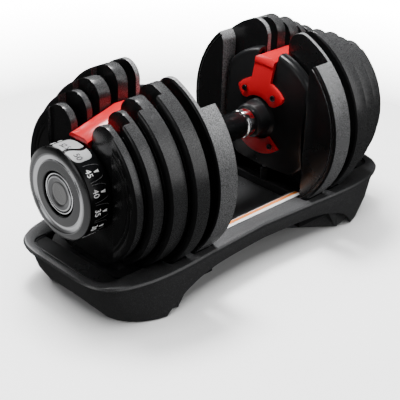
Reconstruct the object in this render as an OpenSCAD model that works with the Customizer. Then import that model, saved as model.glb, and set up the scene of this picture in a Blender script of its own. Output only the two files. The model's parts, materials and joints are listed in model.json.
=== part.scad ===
// Adjustable dumbbell in its cradle: two stacks of five slotted plates, a handle
// whose end dials turn selector discs under the plates' tabs, and a floor cradle
// that keeps the plates upright and frees the dials while the handle rests in it.
// X runs along the handle, Y across it, Z up. The floor is Z = 0.
// "left" is the -X end and "right" the +X end; the left pieces mirror the right ones.

/* [Handle] */
// Height of the handle's axis above the floor when it rests in the cradle
axis_h = 121.5; // [119:0.5:126]
// Length of the grip between its two chrome collars
grip_len = 68; // [64:1:72]
// Radius of the grip
grip_r = 14.2; // [13:0.1:16]
// Length of a chrome collar
collar_len = 12.5; // [10:0.5:13.5]
// How far a collar stands out beyond the grip's radius
collar_step = 0.6; // [0.2:0.1:1.2]
// Radius of the steel shaft that runs through the whole handle
shaft_r = 7; // [6:0.25:7.5]
// Wall of the rotating selector spindle on the shaft
spindle_wall = 3.4; // [3:0.1:3.6]

/* [Plates] */
// Distance from the middle of the handle to the innermost plate's face
stack_x = 68.5; // [67:0.1:70]
// Gap between the rims of neighbouring plates
plate_gap = 1.9; // [1.2:0.1:2.5]
// Wider gap between the two innermost plates
inner_gap = 9.8; // [8.5:0.1:10.5]
// Radius of plate 1, the outermost and lightest
plate_1_r = 77.1; // [75:0.1:79]
// Radius of plate 2
plate_2_r = 84.4; // [82:0.1:86.5]
// Radius of plate 3
plate_3_r = 92; // [90:0.1:94]
// Radius of plate 4
plate_4_r = 99.3; // [97:0.1:99.9]
// Radius of plate 5, the innermost
plate_5_r = 100; // [99:0.1:101]
// Full thickness of plate 1 at its rim
plate_1_t = 10.5; // [9.5:0.1:12]
// Full thickness of plate 2 at its rim
plate_2_t = 15.2; // [14:0.1:16.5]
// Full thickness of plate 3 at its rim
plate_3_t = 20; // [19:0.1:21.5]
// Full thickness of plate 4 at its rim
plate_4_t = 18.8; // [18.5:0.1:20]
// Full thickness of plate 5 at its rim
plate_5_t = 25; // [24:0.1:27]
// Thickness of plate 1 in its thin middle band
plate_1_web = 7.5; // [6.5:0.1:8.5]
// Thickness of plate 2 in its thin middle band
plate_2_web = 6.2; // [5:0.1:7]
// Thickness of plate 3 in its thin middle band
plate_3_web = 13.3; // [12:0.1:14]
// Thickness of plate 4 in its thin middle band
plate_4_web = 12; // [11:0.1:12.2]
// Thickness of plate 5 in its thin middle band
plate_5_web = 5.5; // [5:0.1:6]
// Half width of the slot that is open at the top of each plate
slot_half = 14.5; // [14.2:0.1:16]
// Radius of the rounded tips of the arms beside the slot
tip_r = 17; // [12:0.5:20]
// Half width of the thin middle band of plates 1 to 4
band_half = 45; // [44:0.5:48]
// Half width of the recess in plate 5 that takes the inner cover
recess_half = 59.5; // [58.5:0.5:61]
// Height above the axis where plate 5's thick part ends on each side
shoulder_z = 70; // [66:0.2:73]

/* [Selector] */
// Radius where a plate's pick-up tab starts
tab_in_r = 24.5; // [23:0.1:25]
// Radius where a plate's pick-up tab ends
tab_out_r = 29.6; // [28:0.1:30]
// Half of the angle that a pick-up tab covers, in degrees
tab_half_a = 7.5; // [6:0.5:9]
// How far a pick-up tab stands out of its plate
tab_len = 2.4; // [2:0.1:2.6]
// Outer radius of the selector discs
disc_r = 34.5; // [34:0.1:36]
// Thickness of a selector disc's web
disc_web = 2.4; // [2:0.1:2.8]
// Outer radius of the notched index wheel
index_r = 39.5; // [39:0.1:41]
// Depth of a notch in the index wheel
notch_depth = 5.5; // [5:0.1:6]
// Width of a notch in the index wheel
notch_w = 5.2; // [4.8:0.1:5.6]
// Radius of the lock pins
pin_r = 2.3; // [2:0.1:2.4]
// How far a lock pin's lower end stands out below the inner cover
pin_out = 4; // [3:0.5:5]

/* [Dial] */
// Outer radius of the dial
dial_r = 44.5; // [42:0.1:44.6]
// Depth of the dial from its face to its back
dial_depth = 28; // [24:0.5:30]
// Gap between the dial's back and the thin band of plate 1
dial_gap = 1.5; // [1:0.1:2.5]
// Number of weight settings round the dial
settings = 15; // [15:1:15]
// Wall of the dial's drum
drum_wall = 3; // [2.4:0.1:4]
// Radius of the cap in the middle of the dial
cap_r = 17.2; // [15:0.1:18]

/* [Handle frame] */
// Radius of the inner cover
cover_r = 71; // [69:0.5:72]
// Half width of the inner cover between its flat sides
cover_half = 54; // [50:0.5:55]
// Depth of the inner cover's flat bottom below the axis
cover_low = 58; // [57:0.5:60]
// Wall of the inner cover
cover_wall = 3; // [2.5:0.1:3.1]
// Half width of the red bridge
bridge_half = 13; // [11:0.1:13.2]
// Thickness of the red bridge and brackets
bridge_t = 3.4; // [3:0.1:4]
// Height of the bridge's level stretch above the axis
bridge_z = 65; // [63:0.5:67]
// Height of the bridge's outer end above the axis
bridge_end_z = 50.4; // [50:0.1:52]
// Radius of the bracket screws' shanks
screw_r = 1.6; // [1.3:0.1:1.9]

/* [Cradle] */
// Overall length of the cradle's rim
cradle_len = 412; // [404:1:420]
// Overall width of the cradle's rim near its ends
cradle_w = 168; // [164:1:174]
// How much narrower the cradle is at its waist
waist = 20; // [14:1:22]
// Height of the cradle's rim above the floor
rim_h = 49; // [48:0.5:50]
// Wall of the cradle's skirt
skirt_wall = 3; // [2.4:0.2:4]
// How far the skirt's ends taper inwards from rim to floor
end_taper = 25; // [20:1:30]
// Height of the arch under the middle of the long sides
arch_h = 33; // [30:0.5:35]
// How far the handle lifts out of the cradle in this model
lift_travel = 200; // [150:10:240]

/* [Hidden] */

$fn = 96;

// Clearances
run_fit = 0.05;     // a shaft or pin that turns or slides in its bore
seat_gap = 0.3;     // a curved face beside a piece that it carries
disc_gap = 0.5;     // a turning disc beside a plate
over = 1;           // how far a cutting body runs past the face it cuts

// Plate stack, listed from plate 1 to plate 5, in the right-hand stack
plate_r = [plate_1_r, plate_2_r, plate_3_r, plate_4_r, plate_5_r];
plate_t = [plate_1_t, plate_2_t, plate_3_t, plate_4_t, plate_5_t];
plate_web = [plate_1_web, plate_2_web, plate_3_web, plate_4_web, plate_5_web];
x_5 = stack_x;
x_4 = x_5 + plate_5_t + inner_gap;
x_3 = x_4 + plate_4_t + plate_gap;
x_2 = x_3 + plate_3_t + plate_gap;
x_1 = x_2 + plate_2_t + plate_gap;
plate_x = [x_1, x_2, x_3, x_4, x_5];
rim_chamfer = 1.6;
groove_w = 1.1;
groove_depth = 0.9;
groove_inset = [8.5, 12.5];
shoulder_a = 32;
shoulder_r = 16;
shoulder_cy = recess_half + shoulder_r;
shoulder_cz = shoulder_z + shoulder_r * (tan(shoulder_a) - 1 / cos(shoulder_a));

// The face of each plate that carries its tab, and which way the tab points
band_x_1 = x_1 + plate_1_web;
band_x_4 = x_4 + plate_4_web;
band_x_5 = x_5 + plate_5_t - plate_5_web;
tab_x = [x_1, x_2, x_3, band_x_4, band_x_5];
tab_dir = [-1, -1, -1, 1, -1];

// Weights of the plates in pounds, and what each setting adds to one side of the handle
plate_lb = [1.25, 2.5, 5, 7.5, 7.5];
handle_lb = 5;
setting_lb = [5, 7.5, 10, 12.5, 15, 17.5, 20, 22.5, 25, 30, 35, 40, 45, 50, 52.5];
pick_order = [3, 4, 2, 1, 0];
step_a = 360 / settings;

// Spindle, discs and index wheel
spindle_r = shaft_r + spindle_wall;
web_offset = tab_len + disc_gap;
lip_in_r = tab_out_r + 0.4;
disc_5_x = band_x_5 - web_offset - disc_web;
index_ring_r = index_r - notch_depth - 3;
index_web = 1.4;

// Inner cover
cover_x0 = stack_x - 4.5;
cover_rise = 10;
dome_ref_r = 65;
cover_back_t = 2.5;
cover_end_x = disc_5_x + 0.3;
hub_r = 18;
hub_x = grip_len / 2 + collar_len + 1;
index_x = cover_x0 + dome_rise(index_r) + cover_wall + 0.6;
index_depth = 4.4;
pin_x = index_x + index_depth + pin_r + 0.5;
guide_top = index_r + 1.2;
guide_t = 2.5;
spring_len = 5.5;
stop_t = 1.2;
collar_pin_r = pin_r + 1.3;
head_r = index_ring_r - 0.5;

// Bridge and brackets
lug_y = 19.5;
lug_z = 27.3;
bridge_bend = 3;
bridge_knee_x = x_4 + plate_4_t;
bridge_end_x = band_x_1 + 3.5;
hanger_t = 4;
hanger_ring = 3.2;
hanger_x = band_x_1 - 0.2 - hanger_t;

// Dial
dial_x = band_x_1 + dial_gap;
dial_face_x = dial_x + dial_depth;
bezel_t = 4;
dial_back_t = 4;
ring_r = 33;
ring_dish = 2.5;
well_r = 21.8;
nut_t = 6;
nut_across = 22;
shaft_end_x = dial_x + 13;

// Cradle
cradle_half = cradle_len / 2;
rim_n = 5;
foot_n = 4;
foot_flare = 4;
lip_h = 5;
top_t = 4;
plate_clear = 1.3;
well_half_x = 195;
well_half_y = 55;
rim_band = 7;
deck_drop = 2;
post_r = 4;
rack_x0 = pin_x - post_r - 0.5;
rack_arm_x = stack_x - 4;
rack_x1 = x_1 + plate_1_t + 1.5;
rack_half = 66;
rack_floor = 16;
rack_corner_x = 24;
rack_corner_y = 22;
cross_wall = band_x_5 - 3 - rack_x0;
post_spigot = 6;
bay_half = 40;
ledge_fall = deck_drop * (well_half_y - bay_half) / (cradle_w / 2 - waist / 2 - rim_band - well_half_y);
ledge_low = rim_h - deck_drop - ledge_fall;
post_seat = max(ledge_low, rim_h - top_t);
fin_half = 40;
fin_clear = 1.2;
fin_top = 52;
pad_h = 2.5;
foot_lift = 1.5;
pedestal_in_x = 72;
pedestal_h = 38;
pedestal_slant = 26;
pedestal_out_x = 118;

// ---------- helpers ----------

// Puts the children's local Z along +X, local X along +Y and local Y along +Z, on the handle's axis
module along_x(x) {
    translate([x, 0, axis_h]) rotate([90, 0, 90]) children();
}

// A round bar on the handle's axis from x0 to x1
module bar(r, x0, x1) {
    along_x(x0) cylinder(r = r, h = x1 - x0);
}

// The left-hand copy of what is drawn for the right
module left() {
    mirror([1, 0, 0]) children();
}

// How far the cover's dome falls back from its crown at radius r
function dome_rise(r) = cover_rise * pow(r / dome_ref_r, 2);
function dome_x(r) = cover_x0 + dome_rise(r);

// Points of an arc, from angle a0 to a1
function arc(cx, cy, r, a0, a1, n) =
    [for (i = [0:n]) let (a = a0 + (a1 - a0) * i / n) [cx + r * cos(a), cy + r * sin(a)]];

// ---------- plates ----------

// Where the centre of an arm tip's rounding lies, across and up
function tip_y() = slot_half + tip_r;
function tip_z(r) = sqrt(pow(r - tip_r, 2) - pow(slot_half + tip_r, 2));

// The corner between a slot wall and the rim that the rounded tip leaves out
module tip_cut(r, depth) {
    y = tip_y();
    z = tip_z(r);
    k = (r + 12) / (r - tip_r);
    difference() {
        linear_extrude(depth)
            polygon([[slot_half - over, z], [y, z], [y * k, z * k], [slot_half - over, r + 12]]);
        translate([y, z, -over]) cylinder(r = tip_r + 0.1, h = depth + 2 * over);
    }
}

// One side of the hollow in plate 5 above its shoulder
module shoulder_cut(depth) {
    far = plate_5_r + 20;
    difference() {
        linear_extrude(depth)
            polygon([
                [recess_half - over, shoulder_cz],
                [shoulder_cy, shoulder_cz],
                [shoulder_cy - shoulder_r * sin(shoulder_a), shoulder_cz + shoulder_r * cos(shoulder_a)],
                [far, shoulder_z + (far - recess_half) * tan(shoulder_a)],
                [far, 2 * far],
                [recess_half - over, 2 * far]
            ]);
        translate([shoulder_cy, shoulder_cz, -over]) cylinder(r = shoulder_r, h = depth + 2 * over);
    }
}

// A ring-shaped groove of mean radius r, cut into a face at local height z
module face_groove(r, z, w, depth) {
    rotate_extrude()
        translate([r - w / 2, z - depth]) square([w, 2 * depth]);
}

// Sector of a ring about the axis, centred at angle a
module ring_sector(r0, r1, h, a, half_a) {
    rotate([0, 0, a - half_a])
        rotate_extrude(angle = 2 * half_a)
            translate([r0, 0]) square([r1 - r0, h]);
}

// Plate i of the right-hand stack, 0 for the outermost
module plate(i) {
    r = plate_r[i];
    t = plate_t[i];
    web = plate_web[i];
    inner_recess = i == 4;
    band = inner_recess ? recess_half : band_half;
    face = inner_recess ? 0 : t;
    c = rim_chamfer;
    along_x(plate_x[i]) {
        difference() {
            rotate_extrude($fn = 180)
                polygon([[0, 0], [r - c, 0], [r, c], [r, t - c], [r - c, t], [0, t]]);
            translate([0, 0, -over]) cylinder(r = slot_half, h = t + 2 * over);
            translate([-slot_half, 0, -over]) cube([2 * slot_half, r + over, t + 2 * over]);
            for (s = [0, 1]) mirror([s, 0, 0])
                translate([0, 0, -over]) tip_cut(r, t + 2 * over);
            if (inner_recess) {
                translate([-band, -r - over, -over]) cube([2 * band, 2 * r + 2 * over, t - web + over]);
                for (s = [0, 1]) mirror([s, 0, 0])
                    translate([0, 0, -over]) shoulder_cut(t - web + over);
                face_groove(r - 5, 0, 1.6, 1.4);
            } else {
                translate([-band, -r - over, web]) cube([2 * band, 2 * r + 2 * over, t]);
                for (g = groove_inset) face_groove(r - g, face, groove_w, groove_depth);
            }
        }
    }
    plate_tab(i);
}

// The tab below the slot that a selector disc's lip reaches under
module plate_tab(i) {
    root = 0.6;
    start = tab_dir[i] > 0 ? tab_x[i] - root : tab_x[i] - tab_len;
    along_x(start) ring_sector(tab_in_r, tab_out_r, tab_len + root, 270, tab_half_a);
}

// ---------- selector ----------

// Which plates a setting picks: the heaviest that still fit, in turn
function add_lb(s) = (setting_lb[s] - handle_lb) / 2;
function picked(i, need, k = 0) =
    k == len(pick_order) ? false
    : let (p = pick_order[k], fits = plate_lb[p] <= need + 0.001)
        p == i ? fits : picked(i, fits ? need - plate_lb[p] : need, k + 1);

// Whether plate i is picked s steps back from the heaviest setting, and for how many steps on
function picked_at(i, s) = picked(i, add_lb(settings - 1 - (s + settings) % settings));
function run_length(i, s) = picked_at(i, s) ? 1 + run_length(i, s + 1) : 0;

// One lip for each run of settings that follow each other, standing h out of local Z = 0
module lips(i, h) {
    for (s = [0:settings - 1])
        if (picked_at(i, s) && !picked_at(i, s - 1)) {
            n = run_length(i, s);
            ring_sector(lip_in_r, disc_r - 0.4, h, 270 + step_a * (s + (n - 1) / 2), step_a * n / 2);
        }
}

// Web of a selector disc with its bore on the spindle
module disc_plate(t) {
    difference() {
        cylinder(r = disc_r, h = t);
        translate([0, 0, -over]) cylinder(r = spindle_r + run_fit, h = t + 2 * over);
        for (a = [0:60:300]) rotate([0, 0, a + 30])
            translate([(spindle_r + tab_in_r) / 2 + 0.5, 0, -over]) cylinder(r = 3.4, h = t + 2 * over);
    }
}

// Disc for one plate whose tab points inwards
module disc_outward(i) {
    root = 0.4;
    along_x(tab_x[i] - web_offset - disc_web) {
        disc_plate(disc_web);
        translate([0, 0, disc_web - root]) lips(i, tab_len + root);
    }
}

// Disc between plates 3 and 4, with a lip on each face
module disc_double() {
    x0 = tab_x[3] + web_offset;
    x1 = tab_x[2] - web_offset;
    root = 0.4;
    along_x(x0) {
        disc_plate(x1 - x0);
        translate([0, 0, x1 - x0 - root]) lips(2, tab_len + root);
        translate([0, 0, -tab_len]) lips(3, tab_len + root);
    }
}

// Cup with a notch for each setting inside its ring, which the lock pin's head drops into
module index_wheel() {
    along_x(index_x) difference() {
        cylinder(r = index_r, h = index_depth);
        translate([0, 0, -over]) cylinder(r = spindle_r + run_fit, h = index_depth + 2 * over);
        translate([0, 0, index_web]) cylinder(r = index_ring_r, h = index_depth);
        for (s = [0:settings - 1]) rotate([0, 0, 270 + s * step_a])
            translate([index_ring_r - over, -notch_w / 2, index_web])
                cube([notch_depth + over, notch_w, index_depth]);
    }
}

// Tube on the shaft that carries the discs and turns with the dial
module spindle() {
    along_x(index_x) difference() {
        cylinder(r = spindle_r, h = shaft_end_x - 1 - index_x);
        translate([0, 0, -over]) cylinder(r = shaft_r + run_fit, h = shaft_end_x - index_x + over);
    }
}

// ---------- dial ----------

// Drum with a finger scallop between each two settings
module dial_drum() {
    depth = dial_depth - bezel_t;
    hub_h = shaft_end_x - 1 - dial_x;
    along_x(dial_x) {
        difference() {
            cylinder(r = dial_r, h = depth);
            translate([0, 0, dial_back_t]) cylinder(r = dial_r - drum_wall, h = depth);
            translate([0, 0, -over]) cylinder(r = spindle_r + run_fit, h = depth + 2 * over);
            for (s = [0:settings - 1]) rotate([0, 0, 90 + (s + 0.5) * step_a])
                translate([dial_r + 14.2, 0, -over]) cylinder(r = 15, h = 9 + over, $fn = 64);
        }
        difference() {
            cylinder(r = spindle_r + 4, h = hub_h);
            translate([0, 0, -over]) cylinder(r = spindle_r + run_fit, h = hub_h + 2 * over);
        }
    }
}

// Dished silver ring that closes the front of the drum
module dial_bezel() {
    x0 = dial_depth - bezel_t;
    edge = 1.4;
    along_x(dial_x) rotate_extrude($fn = 144)
        polygon([
            [well_r, x0], [dial_r, x0], [dial_r, dial_depth - edge], [dial_r - edge, dial_depth],
            [dial_r - 4.5, dial_depth], [ring_r + 0.8, dial_depth - ring_dish], [ring_r, dial_depth - ring_dish],
            [ring_r - 0.6, dial_depth - 1.4], [well_r + 1, dial_depth - 1], [well_r, dial_depth - 1.8]
        ]);
}

// Dished cap with its bright rim, pressed into the drum's hub
module dial_cap() {
    x0 = shaft_end_x + 3.4 - dial_x;
    top = dial_depth - 2.2;
    lip = cap_r + 2.6;
    along_x(dial_x) rotate_extrude($fn = 96)
        polygon(concat(
            [[0, x0], [cap_r + 3, x0], [cap_r + 3, x0 + 2.4], [lip, x0 + 3], [lip, top - 0.5],
             [lip - 0.5, top], [cap_r + 1.2, top], [cap_r + 0.7, top - 2], [cap_r, top - 2],
             [cap_r, top - 0.4], [cap_r - 1, top + 0.5]],
            [for (k = [1:6]) let (r = (cap_r - 1) * (1 - k / 6)) [r, top + 0.5 - 1.4 * (1 - pow(r / (cap_r - 1), 2))]]
        ));
}

// ---------- handle ----------

// Steel shaft from dial to dial, with threaded ends for the nuts
module main_shaft() {
    color("silver") bar(shaft_r, -shaft_end_x, shaft_end_x);
}

// Hexagonal nut that holds the spindle on the shaft
module shaft_nut() {
    along_x(shaft_end_x - 0.6) difference() {
        cylinder(d = nut_across / cos(30), h = nut_t - 2.4, $fn = 6);
        translate([0, 0, -over]) cylinder(r = shaft_r + run_fit, h = 0.6 + over);
    }
}

// Half shell of the grip; the upper one sits on the lower along the parting line
module grip_shell(upper) {
    half = grip_len / 2;
    a0 = upper ? 0 : 180;
    along_x(-half) rotate([0, 0, a0]) rotate_extrude(angle = 180)
        polygon([
            [shaft_r + run_fit, 0], [grip_r - 0.8, 0], [grip_r, 0.8],
            [grip_r, grip_len - 0.8], [grip_r - 0.8, grip_len], [shaft_r + run_fit, grip_len]
        ]);
}

// Polished collar between the grip and the inner cover
module collar() {
    r = grip_r + collar_step;
    e = 1.2;
    along_x(grip_len / 2) rotate_extrude()
        polygon([
            [shaft_r + run_fit, 0], [r - e, 0], [r, e], [r, collar_len - e],
            [r - e, collar_len], [shaft_r + run_fit, collar_len]
        ]);
}

// Profile of the cover's outer face from its hub to radius r1, moved out along the axis by d
function dome_line(r0, r1, d, n) =
    [for (i = [0:n]) let (r = r0 + (r1 - r0) * i / n) [r, dome_x(r) + d]];

// Domed housing beside the grip, open at its back
module inner_cover() {
    edge = 5;
    r1 = cover_r - edge;
    x_edge = dome_x(r1);
    w = cover_wall;
    intersection() {
        along_x(0) difference() {
            union() {
                rotate_extrude($fn = 144)
                    polygon(concat(
                        [[shaft_r + run_fit, hub_x], [hub_r - 2, hub_x], [hub_r, hub_x + 2], [hub_r + 1, cover_x0 - 2]],
                        dome_line(hub_r + 4, r1, 0, 8),
                        [for (p = arc(r1, x_edge + edge, edge, -70, 0, 4)) p],
                        [[cover_r, cover_end_x], [cover_r - w, cover_end_x], [cover_r - w, x_edge + edge],
                         [r1, x_edge + w + 1]],
                        [for (i = [8:-1:0]) let (r = hub_r + (r1 - hub_r) * i / 8) [r, dome_x(r) + w]],
                        [[shaft_r + run_fit, dome_x(hub_r) + w]]
                    ));
                flat_sides();
                pin_guide();
            }
            translate([0, -guide_top + over, pin_x]) rotate([90, 0, 0])
                cylinder(r = pin_r + run_fit, h = cover_r - guide_top, $fn = 48);
            for (p = screw_places()) translate([p[0], p[1], cover_x0])
                cylinder(r = screw_r + run_fit, h = cover_rise + cover_wall + 2, $fn = 32);
            bridge_notch(0);
        }
        translate([hub_x - over, -cover_half, axis_h - cover_low])
            cube([cover_end_x - hub_x + 2 * over, 2 * cover_half, cover_low + cover_r + over]);
    }
}

// Notch at the top of the cover that the bridge's beam passes through
module bridge_notch(extra) {
    half = bridge_half + seat_gap;
    translate([-half, bridge_z - bridge_t - extra - 0.2, hub_x]) cube([2 * half, cover_r, cover_x0]);
}

// Walls behind the cover's flat sides and bottom
module flat_sides() {
    w = cover_wall;
    for (s = [-1, 0, 1])
        intersection() {
            if (s == 0) translate([-cover_r, -cover_low, 0]) cube([2 * cover_r, w, cover_end_x]);
            else translate([s > 0 ? cover_half - w : -cover_half, -cover_r, 0])
                cube([w, 2 * cover_r, cover_end_x]);
            rotate_extrude($fn = 144)
                polygon(concat(
                    dome_line(hub_r, cover_r - 5, 0.5, 8),
                    [[cover_r - 1, dome_x(cover_r - 5) + 5], [cover_r - 1, cover_end_x], [hub_r, cover_end_x]]
                ));
        }
}

// Rib inside the cover that guides the lock pin above its spring
module pin_guide() {
    half = 6;
    translate([-half, -guide_top - guide_t, dome_x(guide_top) + 1])
        cube([2 * half, guide_t, cover_end_x - dome_x(guide_top) - 1]);
}

// Ring that closes the back of the inner cover round the last selector disc
module cover_back() {
    w = cover_half - 0.2;
    intersection() {
        along_x(cover_end_x) difference() {
            cylinder(r = cover_r, h = cover_back_t, $fn = 144);
            translate([0, 0, -over]) cylinder(r = disc_r + 1, h = cover_back_t + 2 * over);
            translate([0, 0, -cover_x0]) bridge_notch(1);
        }
        translate([cover_end_x - over, -w, axis_h - cover_low + 0.2])
            cube([cover_back_t + 2 * over, 2 * w, cover_low + cover_r]);
    }
}

// Places of the four bracket screws round the hub, across and up
function screw_places() = [for (a = [-1, 1], b = [-1, 1]) [a * lug_y, b * lug_z]];

// Sheet of the bridge's thickness that lies on the cover's dome
module dome_sheet(r0, r1) {
    rotate_extrude($fn = 144)
        polygon(concat(
            dome_line(r0, r1, -bridge_t, 6),
            [for (i = [6:-1:0]) let (r = r0 + (r1 - r0) * i / 6) [r, dome_x(r) - seat_gap / 2]]
        ));
}

// Outline of the upper bracket: an arm that rises from two lugs, hollowed round the hub
module upper_outline() {
    top = bridge_z - bridge_t;
    side = [[bridge_half, top], [bridge_half, lug_z + 13.7], [lug_y + 5.2, lug_z + 7.1],
            [lug_y + 11.2, lug_z + 1.4], [lug_y + 11.4, lug_z - 0.6], [lug_y + 8.6, lug_z - 5.4],
            [lug_y + 2.5, lug_z - 9.8], [lug_y - 1, lug_z - 9.8], [0, lug_z - 9.8]];
    linear_extrude(60) difference() {
        polygon(concat(side, [for (i = [len(side) - 2:-1:0]) [-side[i][0], side[i][1]]]));
        circle(r = hub_r + 6);
    }
}

// Side view of the beam, from the bend over the cover to its outer end
module beam_side() {
    t = bridge_t;
    z0 = bridge_z - 8;
    out = dome_x(z0) - t - 0.5;
    polygon([
        [out, z0], [out + 1.2, bridge_z - bridge_bend], [out + 3.6, bridge_z], [bridge_knee_x, bridge_z],
        [bridge_end_x, bridge_end_z], [bridge_end_x, bridge_end_z - t - 1], [bridge_knee_x, bridge_z - t - 1],
        [cover_end_x, bridge_z - t - 1], [cover_end_x, bridge_z - t],
        [dome_x(bridge_z - t) - seat_gap, bridge_z - t], [dome_x(z0) - seat_gap, z0]
    ]);
}

// Red bridge: bracket on the cover, beam through the plates' slots, hanger on the spindle
module bridge() {
    bevel = 4.5;
    along_x(0) difference() {
        union() {
            intersection() {
                dome_sheet(hub_r + 5, cover_r - 5);
                translate([0, 0, hub_x]) upper_outline();
            }
            translate([bridge_half, 0, 0]) rotate([0, -90, 0]) linear_extrude(2 * bridge_half) beam_side();
            translate([0, 0, hanger_x]) linear_extrude(hanger_t) difference() {
                union() {
                    circle(r = spindle_r + hanger_ring);
                    translate([-9, 0]) square([18, bridge_end_z]);
                }
                circle(r = spindle_r + run_fit);
            }
        }
        for (p = screw_places()) if (p[1] > 0) translate([p[0], p[1], hub_x])
            cylinder(r = screw_r + run_fit, h = 60, $fn = 32);
        for (s = [-1, 1]) beam_bevels(s, bevel);
    }
}

// Slanted cuts along one top edge of the beam, one for each straight stretch
module beam_bevels(s, b) {
    runs = [
        [[dome_x(bridge_z) - bridge_t - 4, bridge_z], [bridge_knee_x, bridge_z]],
        [[bridge_knee_x, bridge_z], [bridge_end_x, bridge_end_z]]
    ];
    for (run = runs) {
        dx = run[1][0] - run[0][0];
        dz = run[1][1] - run[0][1];
        translate([s * bridge_half, run[0][1], run[0][0]]) rotate([-atan2(dz, dx), 0, 0])
            translate([0, 0, -1]) linear_extrude(norm([dx, dz]) + 2)
                polygon([[-s * b, 0], [s * 2, -b * 0.8], [s * 2, 4], [-s * b, 4]]);
    }
}

// Red crescent under the hub, held by the two lower screws
module lower_bracket() {
    half_a = 44;
    r1 = 40.5;
    along_x(0) difference() {
        intersection() {
            dome_sheet(hub_r + 5.5, r1);
            translate([0, 0, hub_x]) linear_extrude(60) difference() {
                intersection() {
                    circle(r = r1);
                    polygon([[0, 0], [60 * cos(270 - half_a), 60 * sin(270 - half_a)], [-30, -60], [30, -60],
                             [60 * cos(270 + half_a), 60 * sin(270 + half_a)]]);
                }
                circle(r = hub_r + 5.5);
            }
        }
        for (p = screw_places()) if (p[1] < 0) translate([p[0], p[1], hub_x])
            cylinder(r = screw_r + run_fit, h = 60, $fn = 32);
    }
}

// Four countersunk cap screws with hexagonal sockets
module bracket_screws() {
    head_r0 = screw_r + 1.5;
    head_h = 1.5;
    r = norm([lug_y, lug_z]);
    x = dome_x(r) - bridge_t - 0.6;
    along_x(0) for (p = screw_places()) translate([p[0], p[1], x]) difference() {
        union() {
            translate([0, 0, -head_h]) cylinder(r = head_r0, h = head_h, $fn = 32);
            cylinder(r = screw_r, h = bridge_t + cover_wall + 2, $fn = 32);
        }
        translate([0, 0, -head_h - over]) cylinder(r = 1.4, h = head_h + over, $fn = 6);
    }
}

// ---------- lock ----------

// Sprung pin: its head sits clear of the notches while the cradle's post holds it up
module lock_pin() {
    tip = cover_low + pin_out;
    translate([pin_x, 0, axis_h]) {
        translate([0, 0, -tip]) cylinder(r = pin_r, h = tip - 25, $fn = 48);
        translate([0, 0, -guide_top - guide_t - spring_len - stop_t])
            cylinder(r = collar_pin_r, h = stop_t, $fn = 48);
        translate([index_x + index_web + 0.4 - pin_x, -2, -head_r + 0.05])
            cube([pin_x - index_x - index_web - 0.4, 4, 5.4]);
    }
}

// Wire of the spring as a tube of six sides round a helix
module lock_spring() {
    turns = 4;
    steps = 12;
    sides = 6;
    wire = 0.35;
    r = (pin_r + collar_pin_r) / 2 + 0.1;
    n = turns * steps;
    h = spring_len - 2 * wire - 0.1;
    pts = [for (i = [0:n], k = [0:sides - 1])
        let (a = i * 360 / steps, b = k * 360 / sides, rr = r + wire * cos(b))
        [rr * cos(a), rr * sin(a), h * i / n + wire * sin(b)]];
    faces = concat(
        [for (i = [0:n - 1], k = [0:sides - 1]) let (a = i * sides + k, b = i * sides + (k + 1) % sides)
            each [[a, b, b + sides], [a, b + sides, a + sides]]],
        [[for (k = [sides - 1:-1:0]) k]],
        [[for (k = [0:sides - 1]) n * sides + k]]
    );
    translate([pin_x, 0, axis_h - guide_top - guide_t - spring_len + wire])
        polyhedron(points = pts, faces = [for (f = faces) [for (i = [len(f) - 1:-1:0]) f[i]]]);
}

// ---------- cradle ----------

// Half width of the cradle at distance x from its middle, before the corners round it off
function half_width(x, w) = w - waist / 2 * (1 + cos(180 * min(abs(x) / 165, 1))) / 2;

// Ring of points round the cradle: a superellipse whose sides are drawn in at the waist
function outline(l, w, n, e = rim_n) = [for (i = [0:n - 1])
    let (a = 360 * i / n, c = cos(a), s = sin(a),
         x = l * sign(c) * pow(abs(c), 2 / e),
         y = sign(s) * pow(abs(s), 2 / e))
    [x, half_width(x, w) * y]];

// Solid through a stack of such rings, each given as length, width, height and exponent
module ring_stack(levels, n) {
    pts = [for (v = levels) for (p = outline(v[0], v[1], n, v[3])) [p[0], p[1], v[2]]];
    m = len(levels);
    faces = concat(
        [[for (i = [0:n - 1]) n - 1 - i]],
        [for (j = [0:m - 2], i = [0:n - 1]) let (k = (i + 1) % n, a = j * n + i, b = j * n + k)
            each [[a, b, b + n], [a, b + n, a + n]]],
        [[for (i = [0:n - 1]) (m - 1) * n + i]]
    );
    polyhedron(points = pts, faces = [for (f = faces) [for (i = [len(f) - 1:-1:0]) f[i]]]);
}

// Rounded rectangle of half sizes a and b
module soft_rect(a, b, r) {
    polygon(concat(arc(a - r, b - r, r, 0, 90, 6), arc(-a + r, b - r, r, 90, 180, 6),
                   arc(-a + r, -b + r, r, 180, 270, 6), arc(a - r, -b + r, r, 270, 360, 6)));
}

// Room for plate i in the cradle, with the given clearance at its rim
module plate_room(i, clear, x_clear) {
    bar(plate_r[i] + clear, plate_x[i] - x_clear, plate_x[i] + plate_t[i] + x_clear);
}

// Cuts under the long sides and the ends, which leave four corner legs
module arches() {
    leg_x = 136.5;
    half = [for (k = [0:16]) let (a = 90 * k / 16, x = leg_x * pow(sin(a), 0.62))
        [x, arch_h * pow(max(0, 1 - pow(x / leg_x, 4.5)), 0.714)]];
    full = concat(half, [[leg_x, -over], [-leg_x, -over]],
                  [for (i = [len(half) - 1:-1:1]) [-half[i][0], half[i][1]]]);
    translate([0, cradle_w, 0]) rotate([90, 0, 0]) linear_extrude(2 * cradle_w) polygon(full);
    end_arch = concat([[-42, -over]], [for (k = [-8:8]) let (y = 38 * k / 8)
        [y, 15 - 9 * pow(abs(k) / 8, 3)]], [[42, -over]]);
    translate([-cradle_len, 0, 0]) rotate([90, 0, 90]) linear_extrude(2 * cradle_len) polygon(end_arch);
}

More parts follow.
